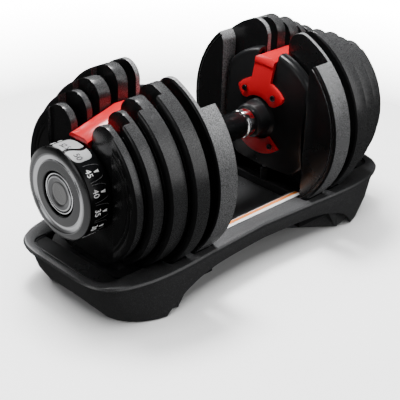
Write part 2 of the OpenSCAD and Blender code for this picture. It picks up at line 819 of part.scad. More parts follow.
// Moulded rim and skirt of the cradle
module cradle_tray() {
    n = 72;
    l = cradle_half;
    w = cradle_w / 2;
    z0 = foot_lift;
    z1 = rim_h - lip_h - 1.5;
    in = skirt_wall;
    f = w + foot_flare;
    mid = rim_n - 0.6;
    color("dimgray") difference() {
        ring_stack([
            [l - end_taper, f, z0, foot_n], [l - end_taper * 0.55, f - 1.5, z1 * 0.45, mid],
            [l - 7, w, z1, rim_n],
            [l - 1, w - 0.5, rim_h - lip_h, rim_n], [l, w, rim_h - 2.4, rim_n],
            [l - 1.2, w - 1.2, rim_h - 0.5, rim_n], [l - 3, w - 3, rim_h, rim_n]
        ], n);
        ring_stack([
            [l - end_taper - in, f - in, z0 - over, foot_n],
            [l - end_taper * 0.55 - in, f - 1.5 - in, z1 * 0.45, mid],
            [l - 7 - in, w - in, rim_h - top_t, rim_n]
        ], n);
        translate([0, 0, rim_h - top_t - over]) linear_extrude(top_t + 2 * over)
            soft_rect(well_half_x, well_half_y, 14);
        rim_slope();
        for (i = [0:4]) for (s = [0, 1]) mirror([s, 0, 0]) plate_room(i, plate_clear, plate_gap / 2 + 0.01);
        arches();
    }
}

// Shallow inward slope between the rim's flat band and the well
module rim_slope() {
    drop = deck_drop;
    n = 24;
    top = outline(cradle_half - rim_band, cradle_w / 2 - rim_band * 0.85, 4 * n);
    low = [for (i = [0:4 * n - 1]) let (a = 360 * i / (4 * n), c = cos(a), s = sin(a))
        [well_half_x * sign(c) * pow(abs(c), 0.35), well_half_y * sign(s) * pow(abs(s), 0.35)]];
    m = 4 * n;
    pts = concat([for (p = low) [p[0], p[1], rim_h - drop]], [for (p = top) [p[0], p[1], rim_h + 0.02]],
                 [for (p = top) [p[0], p[1], rim_h + 3]]);
    faces = concat(
        [[for (i = [0:m - 1]) m - 1 - i]],
        [for (j = [0, 1], i = [0:m - 1]) let (k = (i + 1) % m, a = j * m + i, b = j * m + k)
            each [[a, b, b + m], [a, b + m, a + m]]],
        [[for (i = [0:m - 1]) 2 * m + i]]
    );
    polyhedron(points = pts, faces = [for (f = faces) [for (i = [len(f) - 1:-1:0]) f[i]]]);
}

// Black tub between the two racks, under the grip, with a sloping ledge along each side
module bay_tub() {
    z0 = arch_h + 1;
    wall = 3;
    under = rim_h - top_t;
    edge = well_half_y - seat_gap;
    side = [[bay_half, z0 + wall], [bay_half, ledge_low], [edge, rim_h - deck_drop],
            [edge, under], [edge + wall, under], [edge + wall, z0]];
    half_x = rack_x0 - seat_gap;
    color("#303234") difference() {
        translate([-half_x, 0, 0]) rotate([90, 0, 90]) linear_extrude(2 * half_x)
            polygon(concat(side, [for (i = [5:-1:0]) [-side[i][0], side[i][1]]]));
        for (s = [-1, 1], t = [-1, 1])
            translate([s > 0 ? rack_arm_x - seat_gap : -rack_x0 - over, t > 0 ? edge : -edge - wall - over, 0])
                cube([rack_x0 - rack_arm_x + seat_gap + over, wall + over, under]);
    }
}

// Raised pad under the dial, with a low bead along its edge
module end_deck() {
    x0 = rack_x1 + seat_gap;
    x1 = well_half_x - 0.5;
    y1 = well_half_y - 0.5;
    z0 = rim_h - top_t;
    z1 = rim_h - deck_drop - 1;
    bead = 1.6;
    difference() {
        intersection() {
            translate([0, 0, z0]) linear_extrude(z1 + 1 - z0) soft_rect(x1, y1, 14);
            translate([x0, -y1, z0]) cube([x1 - x0, 2 * y1, top_t]);
        }
        translate([0, 0, z1]) linear_extrude(3) soft_rect(x1 - bead, y1 - bead, 12.5);
    }
    translate([x0, -y1, z0 - 4]) cube([3, 2 * y1, 4]);
    translate([x1 - 3, -y1 + 20, z0 - 4]) cube([3, 2 * y1 - 40, 4]);
}

// Black rack whose round seats and fins hold the plates upright
module plate_rack() {
    top = rim_h - top_t;
    color("#1c1d1f") difference() {
        union() {
            translate([0, 0, rack_floor]) linear_extrude(top - rack_floor)
                rack_outline();
            for (s = [0, 1]) mirror([0, s, 0]) translate([rack_arm_x, well_half_y, rack_floor])
                cube([rack_x0 - rack_arm_x + over, rack_half - well_half_y, top - rack_floor]);
            bay_end_wall();
            rack_fin(x_2 + plate_2_web, x_1);
            rack_fin(x_3 + plate_3_web, x_2);
            rack_fin(x_4 + plate_4_web, x_3);
        }
        rack_rooms();
        translate([pin_x, 0, post_seat - post_spigot - 0.5])
            cylinder(r = post_r - 1 + run_fit, h = post_spigot + over, $fn = 48);
    }
}

// Plan of the rack, its outer corners cut off to clear the skirt
module rack_outline() {
    cut_x = rack_x1 - rack_corner_x;
    cut_y = rack_half - rack_corner_y;
    polygon([[rack_x0, -rack_half], [cut_x, -rack_half], [rack_x1, -cut_y],
             [rack_x1, cut_y], [cut_x, rack_half], [rack_x0, rack_half]]);
}

// Wall across the bay's end, with the same sloping ledges on its top as the tub
module bay_end_wall() {
    edge = well_half_y - seat_gap;
    side = [[edge, rack_floor], [edge, rim_h - deck_drop], [bay_half, ledge_low]];
    translate([rack_x0, 0, 0]) rotate([90, 0, 90]) linear_extrude(cross_wall)
        polygon(concat(side, [for (i = [2:-1:0]) [-side[i][0], side[i][1]]]));
}

// The seats of all five plates, joined through the gaps between them but for the fins
module rack_rooms() {
    half_gap = plate_gap / 2;
    for (i = [0:4]) difference() {
        bar(plate_r[i] + seat_gap, plate_x[i] - half_gap, plate_x[i] + plate_t[i] + half_gap + 0.01);
        if (i < 3) fin_body(plate_x[i + 1] + plate_web[i + 1], plate_x[i]);
        if (i > 0 && i < 4) fin_body(plate_x[i] + plate_web[i], plate_x[i - 1]);
        if (i == 4) translate([0, -recess_half + fin_clear, 0])
            cube([band_x_5 - fin_clear, 2 * (recess_half - fin_clear), rim_h]);
    }
}

// Space that a fin fills between the thin band of one plate and the back of the next
module fin_body(x0, x1) {
    translate([x0 + fin_clear, -fin_half, 0])
        cube([x1 - x0 - 2 * fin_clear, 2 * fin_half, axis_h - fin_top]);
}

module rack_fin(x0, x1) {
    intersection() {
        fin_body(x0, x1);
        translate([0, -fin_half, rack_floor]) cube([rack_x1, 2 * fin_half, axis_h]);
    }
}

// Black block under each end of the cradle, with side walls that slant inwards to the floor
module pedestal() {
    w = cradle_w / 2 - skirt_wall - seat_gap - 0.7;
    l = cradle_half - end_taper - skirt_wall - seat_gap - 1;
    top = rack_floor;
    n = 24;
    edge = [for (i = [-n:n]) let (a = 62 * i / n, c = cos(a), s = sin(a), x = l * pow(c, 2 / foot_n))
        [x, half_width(x, w) * sign(s) * pow(abs(s), 2 / foot_n)]];
    out = pedestal_out_x;
    in_x = out - pedestal_slant - over;
    y0 = rack_half + seat_gap;
    color("#1c1d1f") difference() {
        union() {
            translate([0, 0, foot_lift]) linear_extrude(top - foot_lift)
                polygon(concat(edge, [[out, w - 5], [pedestal_in_x, 40], [pedestal_in_x, -40], [out, -w + 5]]));
            intersection() {
                translate([0, 0, foot_lift]) linear_extrude(pedestal_h)
                    polygon(concat(edge, [[in_x, w - 5], [in_x, 5 - w]]));
                for (s = [0, 1]) mirror([0, s, 0]) translate([0, w, 0]) rotate([90, 0, 0])
                    linear_extrude(w - y0)
                        polygon([[out, 0], [out - pedestal_slant, pedestal_h], [158, pedestal_h], [166, 0]]);
            }
        }
        for (p = pad_places()) translate([p[0], p[1], 0]) cylinder(r = 9 + run_fit, h = pad_h, $fn = 48);
        for (p = base_screws()) translate([p[0], p[1], 0]) {
            cylinder(r = 2 + run_fit, h = top + over, $fn = 32);
            cylinder(r = 4.2, h = foot_lift + 4, $fn = 32);
        }
    }
}

// Places of the pads and screws under the right-hand pedestal
function pad_places() = [[136, 54], [136, -54], [90, 0]];
function base_screws() = [[110, 44], [110, -44], [158, 22], [158, -22]];

// Two posts on the racks' cross walls that hold the lock pins up
module release_posts() {
    top = axis_h - cover_low - pin_out - 0.2;
    seat = post_seat;
    color("#303234") for (s = [-1, 1]) translate([s * pin_x, 0, 0]) {
        translate([0, 0, seat - post_spigot]) cylinder(r = post_r - 1, h = post_spigot + over, $fn = 48);
        translate([0, 0, seat]) cylinder(r = post_r, h = top - seat - 1, $fn = 48);
        translate([0, 0, top - 1]) cylinder(r1 = post_r, r2 = post_r - 1, h = 1, $fn = 48);
    }
}

// Screws from below through the pedestals into the racks
module cradle_screws() {
    z0 = foot_lift + 1;
    color("gray") for (s = [-1, 1]) for (p = base_screws()) translate([s * p[0], p[1], z0]) difference() {
        union() {
            cylinder(r = 3.8, h = 2.6, $fn = 32);
            cylinder(r = 2, h = rack_floor - z0 - 0.2, $fn = 32);
        }
        translate([0, 0, -over]) cylinder(r = 1.6, h = 2.2, $fn = 6);
    }
}

// Soft pads that the cradle stands on
module rubber_pads() {
    color("#222222") for (s = [-1, 1]) for (p = pad_places())
        translate([s * p[0], p[1], 0]) cylinder(r = 9, h = pad_h, $fn = 48);
}

cradle_tray();
bay_tub();
color("#4a4c4e") left() end_deck();  // end_deck_left
color("#4a4c4e") end_deck();  // end_deck_right
left() plate_rack();  // plate_rack_left
plate_rack();  // plate_rack_right
left() pedestal();  // pedestal_left
pedestal();  // pedestal_right
release_posts();
cradle_screws();
rubber_pads();
main_shaft();
color("#3a3b3d") grip_shell(true);  // grip_shell_upper
color("#3a3b3d") grip_shell(false);  // grip_shell_lower
color("#d8d8da") left() collar();  // collar_left
color("#d8d8da") collar();  // collar_right
color("#26272a") left() inner_cover();  // inner_cover_left
color("#26272a") inner_cover();  // inner_cover_right
color("#26272a") left() cover_back();  // cover_back_left
color("#26272a") cover_back();  // cover_back_right
color("#c8303c") left() bridge();  // bridge_left
color("#c8303c") bridge();  // bridge_right
color("#c8303c") left() lower_bracket();  // lower_bracket_left
color("#c8303c") lower_bracket();  // lower_bracket_right
color("#333333") left() bracket_screws();  // bracket_screws_left
color("#333333") bracket_screws();  // bracket_screws_right
color("silver") left() shaft_nut();  // shaft_nut_left
color("silver") shaft_nut();  // shaft_nut_right
color("silver") left() spindle();  // spindle_left
color("silver") spindle();  // spindle_right
color("#1c1d1f") left() index_wheel();  // index_wheel_left
color("#1c1d1f") index_wheel();  // index_wheel_right
color("#1c1d1f") left() disc_outward(0);  // selector_disc_1_left
color("#1c1d1f") left() disc_outward(1);  // selector_disc_2_left
color("#1c1d1f") left() disc_double();  // selector_disc_34_left
color("#1c1d1f") left() disc_outward(4);  // selector_disc_5_left
color("#1c1d1f") disc_outward(0);  // selector_disc_1_right
color("#1c1d1f") disc_outward(1);  // selector_disc_2_right
color("#1c1d1f") disc_double();  // selector_disc_34_right
color("#1c1d1f") disc_outward(4);  // selector_disc_5_right
color("#1c1d1f") left() dial_drum();  // dial_drum_left
color("#1c1d1f") dial_drum();  // dial_drum_right
color("#b8babd") left() dial_bezel();  // dial_bezel_left
color("#b8babd") dial_bezel();  // dial_bezel_right
color("#a0a2a5") left() dial_cap();  // dial_cap_left
color("#a0a2a5") dial_cap();  // dial_cap_right
color("#303134") left() plate(0);  // plate_1_left
color("#303134") left() plate(1);  // plate_2_left
color("#303134") left() plate(2);  // plate_3_left
color("#303134") left() plate(3);  // plate_4_left
color("#4a4b4d") left() plate(4);  // plate_5_left
color("#303134") plate(0);  // plate_1_right
color("#303134") plate(1);  // plate_2_right
color("#303134") plate(2);  // plate_3_right
color("#303134") plate(3);  // plate_4_right
color("#4a4b4d") plate(4);  // plate_5_right
color("silver") left() lock_pin();  // lock_pin_left
color("silver") lock_pin();  // lock_pin_right
color("silver") left() lock_spring();  // lock_spring_left
color("silver") lock_spring();  // lock_spring_right
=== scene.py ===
"""Dresses an adjustable dumbbell in its cradle: rounded edges, finishes, dial markings and a studio stage.

Lengths are in metres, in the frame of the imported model: X along the handle, Y across it, Z up. The profiles
and bands of the dials' fronts are in millimetres, as their comments say.
"""

import json
import math

import bmesh
import bpy
import numpy as np
from mathutils import Matrix, Vector

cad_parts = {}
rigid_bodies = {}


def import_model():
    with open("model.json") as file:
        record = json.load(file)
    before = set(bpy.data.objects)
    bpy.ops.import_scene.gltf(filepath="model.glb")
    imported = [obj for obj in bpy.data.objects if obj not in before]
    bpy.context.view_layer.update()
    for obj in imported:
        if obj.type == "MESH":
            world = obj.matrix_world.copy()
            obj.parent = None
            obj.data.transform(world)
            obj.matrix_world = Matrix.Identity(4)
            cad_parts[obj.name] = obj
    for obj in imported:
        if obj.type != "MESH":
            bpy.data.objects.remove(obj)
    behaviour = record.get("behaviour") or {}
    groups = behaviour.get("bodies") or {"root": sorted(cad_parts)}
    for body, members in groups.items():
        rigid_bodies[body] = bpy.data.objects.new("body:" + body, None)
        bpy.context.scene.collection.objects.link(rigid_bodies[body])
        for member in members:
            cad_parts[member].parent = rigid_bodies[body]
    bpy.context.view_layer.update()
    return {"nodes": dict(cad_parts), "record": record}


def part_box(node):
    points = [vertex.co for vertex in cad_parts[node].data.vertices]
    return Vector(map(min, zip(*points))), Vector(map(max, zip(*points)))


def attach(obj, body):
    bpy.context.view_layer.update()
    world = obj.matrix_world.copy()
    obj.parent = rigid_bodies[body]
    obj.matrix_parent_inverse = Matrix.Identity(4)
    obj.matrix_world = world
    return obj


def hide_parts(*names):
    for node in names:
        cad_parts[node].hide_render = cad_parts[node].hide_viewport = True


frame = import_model()

bl_info = {
    "name": "Adjustable dumbbell dresser",
    "version": (1, 0, 0),
    "blender": (4, 5, 0),
    "location": "View3D > Sidebar > Dumbbell",
    "description": "Rounds the edges of the dumbbell's solids and adds their finishes, markings and a stage",
    "category": "Object",
}

SIDES = {"left": -1.0, "right": 1.0}
SETTINGS = ["52.5", "50", "45", "40", "35", "30", "25", "22.5", "20", "17.5", "15", "12.5", "10", "7.5", "5"]
STEP = 2 * math.pi / len(SETTINGS)

# Where each silver patch starts and ends round the drum, in degrees from +Y; each lies under one of the first
# numerals
PATCH_SPANS = ((73.5, 99.6), (104.4, 122.0))

DRUM_LO, DRUM_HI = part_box("dial_drum_right")
AXIS_Z = (DRUM_LO.z + DRUM_HI.z) / 2
DRUM_R = (DRUM_HI.y - DRUM_LO.y) / 2
FRONT_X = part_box("dial_bezel_right")[1].x
TUB_LO, TUB_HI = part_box("bay_tub")

WELD = 1e-6  # points closer than this are merged
SINK = -0.0004  # where a marking's foot lies, measured from the drum's surface


# ---------- settings ----------


class DumbbellStage(bpy.types.PropertyGroup):
    """The floor, the lights and the camera."""

    camera_place: bpy.props.FloatVectorProperty(
        name="Camera place",
        description="Where the camera stands",
        default=(-0.7187, -0.6980, 0.5827),
        subtype="XYZ",
        unit="LENGTH",
    )
    camera_yaw: bpy.props.FloatProperty(
        name="Camera yaw",
        description="Heading of the view, from +X towards +Y",
        default=math.radians(44.9),
        subtype="ANGLE",
    )
    camera_dip: bpy.props.FloatProperty(
        name="Camera dip",
        description="How far the view looks down",
        default=math.radians(28.24),
        subtype="ANGLE",
    )
    camera_roll: bpy.props.FloatProperty(
        name="Camera roll",
        description="Turn of the picture about the view",
        default=math.radians(1.88),
        subtype="ANGLE",
    )
    lens: bpy.props.FloatProperty(name="Lens", description="Focal length in millimetres", default=98.05)
    floor_tone: bpy.props.FloatProperty(
        name="Floor tone", description="Brightness of the floor", default=0.86, min=0, max=1
    )
    world_tone: bpy.props.FloatProperty(
        name="World light", description="Strength of the even light", default=0.045, min=0
    )
    key_power: bpy.props.FloatProperty(
        name="Key light", description="Power of the soft light overhead", default=38.0, unit="POWER"
    )
    side_power: bpy.props.FloatProperty(
        name="Side light",
        description="Power of the weak lights at the front and left",
        default=4.2,
        unit="POWER",
    )
    reflector_power: bpy.props.FloatProperty(
        name="Reflector",
        description="Power of the low reflector for the dials' metal, collars, numerals and ticks",
        default=26.0,
        unit="POWER",
    )
    paper_power: bpy.props.FloatProperty(
        name="Paper light", description="Power of the light on the floor alone", default=190.0, unit="POWER"
    )
    back_power: bpy.props.FloatProperty(
        name="Back light", description="Power of the light behind", default=8.0, unit="POWER"
    )


class DumbbellEdges(bpy.types.PropertyGroup):
    """How far the edges of the solids are rounded."""

    plate: bpy.props.FloatProperty(
        name="Plate edge", description="Rounding of the plates' edges", default=0.0012, unit="LENGTH"
    )
    moulding: bpy.props.FloatProperty(
        name="Moulding edge", description="Rounding of plastic mouldings", default=0.0007, unit="LENGTH"
    )
    metal: bpy.props.FloatProperty(
        name="Metal edge",
        description="Rounding of the red metal pieces, the grip and the collars",
        default=0.0006,
        unit="LENGTH",
    )
    segments: bpy.props.IntProperty(
        name="Steps", description="Faces across a rounded edge", default=3, min=1, max=6
    )


class DumbbellMarks(bpy.types.PropertyGroup):
    """Markings moulded and printed on the dials."""

    digit_height: bpy.props.FloatProperty(
        name="Digit height", description="Height of a numeral", default=0.0064, unit="LENGTH"
    )
    relief: bpy.props.FloatProperty(
        name="Relief", description="How far a marking stands off the drum", default=0.00012, unit="LENGTH"
    )
    digit_place: bpy.props.FloatProperty(
        name="Digit place",
        description="From the dial's front to the numerals' foot",
        default=0.0074,
        unit="LENGTH",
    )
    tick_place: bpy.props.FloatProperty(
        name="Tick place",
        description="From the dial's front to the ticks' thin end",
        default=0.0163,
        unit="LENGTH",
    )
    tick_length: bpy.props.FloatProperty(
        name="Tick length", description="Length of a tick", default=0.0050, unit="LENGTH"
    )
    tick_width: bpy.props.FloatProperty(
        name="Tick width", description="Width of a tick's broad end", default=0.0028, unit="LENGTH"
    )


class DumbbellColours(bpy.types.PropertyGroup):
    """Base colours of the finishes."""

    coat: bpy.props.FloatVectorProperty(
        name="Plate coat", description="Coat of the plates", default=(0.0065, 0.0066, 0.0070), subtype="COLOR"
    )
    sand: bpy.props.FloatVectorProperty(
        name="Speckle",
        description="Light grains in the coat",
        default=(0.016, 0.0163, 0.017),
        subtype="COLOR",
    )
    tray: bpy.props.FloatVectorProperty(
        name="Tray", description="Plastic of the cradle", default=(0.055, 0.0556, 0.0575), subtype="COLOR"
    )
    cover: bpy.props.FloatVectorProperty(
        name="Cover",
        description="Plastic of the inner covers",
        default=(0.009, 0.0092, 0.0098),
        subtype="COLOR",
    )
    red: bpy.props.FloatVectorProperty(
        name="Red",
        description="Powder coat of the bridges and brackets",
        default=(0.60, 0.010, 0.018),
        subtype="COLOR",
    )
    silver: bpy.props.FloatVectorProperty(
        name="Silver",
        description="Metal of the CAD bezels and caps",
        default=(0.24, 0.245, 0.255),
        subtype="COLOR",
    )
    mark: bpy.props.FloatVectorProperty(
        name="Marking", description="Numerals and ticks", default=(0.82, 0.82, 0.82), subtype="COLOR"
    )


# ---------- shared shader groups ----------


def group(name, inputs, outputs):
    """A new shader node group with the named sockets; returns it with its input and output nodes."""
    tree = bpy.data.node_groups.new(name, "ShaderNodeTree")
    for label, kind, value in inputs:
        socket = tree.interface.new_socket(name=label, in_out="INPUT", socket_type=kind)
        socket.default_value = value
    for label, kind in outputs:
        tree.interface.new_socket(name=label, in_out="OUTPUT", socket_type=kind)
    return tree, tree.nodes.new("NodeGroupInput"), tree.nodes.new("NodeGroupOutput")


def noise(tree, coordinate, scale, detail, roughness=0.55):
    """A noise texture on the given coordinate; the scale is a number or a socket."""
    node = tree.nodes.new("ShaderNodeTexNoise")
    node.inputs["Detail"].default_value = detail
    node.inputs["Roughness"].default_value = roughness
    tree.links.new(coordinate, node.inputs["Vector"])
    if hasattr(scale, "is_output"):
        tree.links.new(scale, node.inputs["Scale"])
    else:
        node.inputs["Scale"].default_value = scale
    return node.outputs["Fac"]


def math_node(tree, operation, a, b=0.0):
    """A math node over two sockets or numbers."""
    node = tree.nodes.new("ShaderNodeMath")
    node.operation = operation
    for socket, value in zip(node.inputs, (a, b)):
        if hasattr(value, "is_output"):
            tree.links.new(value, socket)
        else:
            socket.default_value = value
    return node.outputs[0]


def remap(tree, value, low, high, to_low, to_high):
    """Maps value from low..high to to_low..to_high and clamps it; each bound is a number or a socket."""
    node = tree.nodes.new("ShaderNodeMapRange")
    tree.links.new(value, node.inputs["Value"])
    for label, bound in (("From Min", low), ("From Max", high), ("To Min", to_low), ("To Max", to_high)):
        if hasattr(bound, "is_output"):
            tree.links.new(bound, node.inputs[label])
        else:
            node.inputs[label].default_value = bound
    return node.outputs["Result"]


def mix_colour(tree, factor, a, b):
    """Mixes two colours, each a socket or a tuple, by a factor socket."""
    node = tree.nodes.new("ShaderNodeMix")
    node.data_type = "RGBA"
    tree.links.new(factor, node.inputs["Factor"])
    for socket, value in zip([s for s in node.inputs if s.type == "RGBA"], (a, b)):
        if hasattr(value, "is_output"):
            tree.links.new(value, socket)
        else:
            socket.default_value = (*value, 1.0)
    return [s for s in node.outputs if s.type == "RGBA"][0]


# Painted light for the plates' rims: tones far lighter than the coat, standing in for the light the rims
# catch; the grain only picks which of the two shows
PAINTED_LIT_RIM_LOW, PAINTED_LIT_RIM_HIGH = (0.14, 0.141, 0.144), (0.46, 0.464, 0.472)  # between and on the grains of a sandy rim
DUST_FILM = (0.30, 0.30, 0.31)


def moulded_grain_group():
    """Moulded plastic or coated steel: fine pimples, a slow drift in gloss, a film of dust on upward faces,
    and painted light on the faces that don't look along the handle: a lighter tone, flecked by the grain, for
    the light the plates' rims catch."""
    tree, source, sink = group(
        "moulded_grain",
        [
            ("Colour", "NodeSocketColor", (0.02, 0.02, 0.02, 1)),
            ("Grains", "NodeSocketColor", (0.05, 0.05, 0.05, 1)),
            ("Grain Size", "NodeSocketFloat", 1600.0),
            ("Grain Share", "NodeSocketFloat", 0.3),
            ("Gloss Low", "NodeSocketFloat", 0.4),
            ("Gloss High", "NodeSocketFloat", 0.55),
            ("Depth", "NodeSocketFloat", 0.1),
            ("Dust", "NodeSocketFloat", 0.05),
            ("Rim", "NodeSocketFloat", 0.0),
        ],
        [("Colour", "NodeSocketColor"), ("Roughness", "NodeSocketFloat"), ("Height", "NodeSocketFloat")],
    )
    place = tree.nodes.new("ShaderNodeTexCoord").outputs["Object"]
    grain = noise(tree, place, source.outputs["Grain Size"], detail=2.0, roughness=0.5)
    cloud = noise(tree, place, 22.0, detail=4.0, roughness=0.6)
    speck = remap(tree, grain, 0.52, 0.66, 0.0, source.outputs["Grain Share"])
    colour = mix_colour(tree, speck, source.outputs["Colour"], source.outputs["Grains"])
    facing = tree.nodes.new("ShaderNodeNewGeometry").outputs["Normal"]
    split = tree.nodes.new("ShaderNodeSeparateXYZ")
    tree.links.new(facing, split.inputs[0])
    upward = remap(tree, split.outputs["Z"], 0.3, 1.0, 0.0, source.outputs["Dust"])
    # Painted light: faces that don't look along the handle, the plates' rims, are lightened by the given
    # amount, standing in for the light they catch
    sideways = math_node(tree, "ABSOLUTE", split.outputs["X"])
    rim = remap(tree, sideways, 0.25, 0.6, source.outputs["Rim"], 0.0)
    painted_light_tone = mix_colour(tree, remap(tree, grain, 0.38, 0.64, 0.0, 1.0), PAINTED_LIT_RIM_LOW, PAINTED_LIT_RIM_HIGH)
    colour = mix_colour(tree, rim, colour, painted_light_tone)
    film = math_node(tree, "MULTIPLY", upward, remap(tree, cloud, 0.4, 0.7, 0.3, 1.0))
    colour = mix_colour(tree, film, colour, DUST_FILM)
    gloss = remap(tree, cloud, 0.3, 0.7, source.outputs["Gloss Low"], source.outputs["Gloss High"])
    height = math_node(tree, "MULTIPLY", grain, source.outputs["Depth"])
    tree.links.new(colour, sink.inputs["Colour"])
    tree.links.new(gloss, sink.inputs["Roughness"])
    tree.links.new(height, sink.inputs["Height"])
    return tree


def turned_metal_group():
    """Turned or brushed metal: fine rings about the handle's axis and faint smudges that dull the gloss."""
    tree, source, sink = group(
        "turned_metal",
        [
            ("Ring Scale", "NodeSocketFloat", 900.0),
            ("Gloss Low", "NodeSocketFloat", 0.2),
            ("Gloss High", "NodeSocketFloat", 0.4),
            ("Depth", "NodeSocketFloat", 0.05),
        ],
        [("Roughness", "NodeSocketFloat"), ("Height", "NodeSocketFloat")],
    )
    place = tree.nodes.new("ShaderNodeTexCoord").outputs["Object"]
    shift = tree.nodes.new("ShaderNodeVectorMath")
    shift.operation = "SUBTRACT"
    shift.inputs[1].default_value = (0.0, 0.0, AXIS_Z)
    tree.links.new(place, shift.inputs[0])
    split = tree.nodes.new("ShaderNodeSeparateXYZ")
    tree.links.new(shift.outputs[0], split.inputs[0])
    y2 = math_node(tree, "MULTIPLY", split.outputs["Y"], split.outputs["Y"])
    z2 = math_node(tree, "MULTIPLY", split.outputs["Z"], split.outputs["Z"])
    radius = math_node(tree, "SQRT", math_node(tree, "ADD", y2, z2))
    rings = tree.nodes.new("ShaderNodeCombineXYZ")
    for distance, label in ((radius, "X"), (split.outputs["X"], "Y")):
        scaled = math_node(tree, "MULTIPLY", distance, source.outputs["Ring Scale"])
        tree.links.new(scaled, rings.inputs[label])
    lines = noise(tree, rings.outputs[0], 1.0, detail=2.0)
    smudge = noise(tree, place, 40.0, detail=3.0)
    gloss = remap(tree, smudge, 0.35, 0.7, source.outputs["Gloss Low"], source.outputs["Gloss High"])
    tree.links.new(gloss, sink.inputs["Roughness"])
    tree.links.new(math_node(tree, "MULTIPLY", lines, source.outputs["Depth"]), sink.inputs["Height"])
    return tree


# ---------- finishes ----------


def shader(name):
    """A new material; returns it with its tree and its Principled shader."""
    material = bpy.data.materials.new("look_" + name)
    material.use_nodes = True
    return material, material.node_tree, material.node_tree.nodes["Principled BSDF"]


def bump(tree, height, shader_node, strength, distance):
    """Feeds a height through a Bump node into the shader's normal."""
    node = tree.nodes.new("ShaderNodeBump")
    node.inputs["Strength"].default_value = strength
    node.inputs["Distance"].default_value = distance
    tree.links.new(height, node.inputs["Height"])
    tree.links.new(node.outputs["Normal"], shader_node.inputs["Normal"])


def grained(name, groups, colour, grains, size, share, gloss, depth, specular, dust=0.0, rim=0.0):
    """A plastic or coated finish from the shared grain group; gloss is the lowest and highest roughness, and
    rim is how much painted light lightens the faces that don't look along the handle.
    """
    material, tree, bsdf = shader(name)
    node = tree.nodes.new("ShaderNodeGroup")
    node.node_tree = groups["grain"]
    for label, value in (
        ("Colour", (*colour, 1)),
        ("Grains", (*grains, 1)),
        ("Grain Size", size),
        ("Grain Share", share),
        ("Gloss Low", gloss[0]),
        ("Gloss High", gloss[1]),
        ("Depth", depth),
        ("Dust", dust),
        ("Rim", rim),
    ):
        node.inputs[label].default_value = value
    tree.links.new(node.outputs["Colour"], bsdf.inputs["Base Color"])
    tree.links.new(node.outputs["Roughness"], bsdf.inputs["Roughness"])
    bsdf.inputs["Specular IOR Level"].default_value = specular
    bump(tree, node.outputs["Height"], bsdf, strength=0.35, distance=0.0002)
    return material


def metal(name, groups, colour, gloss, rings, depth=1.0):
    """A metal finish from the shared turned-metal group; gloss is the lowest and highest roughness."""
    material, tree, bsdf = shader(name)
    node = tree.nodes.new("ShaderNodeGroup")
    node.node_tree = groups["turned"]
    for label, value in (
        ("Ring Scale", rings),
        ("Gloss Low", gloss[0]),
        ("Gloss High", gloss[1]),
        ("Depth", depth),
    ):
        node.inputs[label].default_value = value
    bsdf.inputs["Base Color"].default_value = (*colour, 1)
    bsdf.inputs["Metallic"].default_value = 1.0
    tree.links.new(node.outputs["Roughness"], bsdf.inputs["Roughness"])
    bump(tree, node.outputs["Height"], bsdf, strength=0.12, distance=0.0001)
    return material


# The bands of the dial's front, middle first: the radius where each starts, in millimetres, and its tone
FRONT_BANDS = (
    (0, 0.12), (10.6, 0.03), (11.2, 0.10), (15.6, 0.4), (17.0, 0.03), (18.5, 0.85),
    (19.6, 0.02), (22.4, 0.06), (31.4, 0.45), (36.6, 0.12), (38.4, 0.05), (44.2, 0.02),
)
BAND_BLUR = 0.35  # millimetres to each side of a band's start


def banded_metal(name, groups, bands):
    """Turned metal with a tone for each distance from the handle's axis, by pairs of radius and tone."""
    material = metal(name, groups, colour=(0.3, 0.3, 0.3), gloss=(0.24, 0.34), rings=700.0)
    tree = material.node_tree
    place = tree.nodes.new("ShaderNodeTexCoord").outputs["Object"]
    cross = tree.nodes.new("ShaderNodeVectorMath")
    cross.operation = "MULTIPLY_ADD"
    tree.links.new(place, cross.inputs[0])
    cross.inputs[1].default_value = (0.0, 1.0, 1.0)
    cross.inputs[2].default_value = (0.0, 0.0, -AXIS_Z)
    length = tree.nodes.new("ShaderNodeVectorMath")
    length.operation = "LENGTH"
    tree.links.new(cross.outputs[0], length.inputs[0])
    colour = (bands[0][1],) * 3
    for radius, tone in bands[1:]:
        low, high = (radius - BAND_BLUR) / 1000, (radius + BAND_BLUR) / 1000
        step = remap(tree, length.outputs["Value"], low, high, 0.0, 1.0)
        colour = mix_colour(tree, step, colour, (tone, tone * 1.01, tone * 1.03))
    tree.links.new(colour, tree.nodes["Principled BSDF"].inputs["Base Color"])
    return material


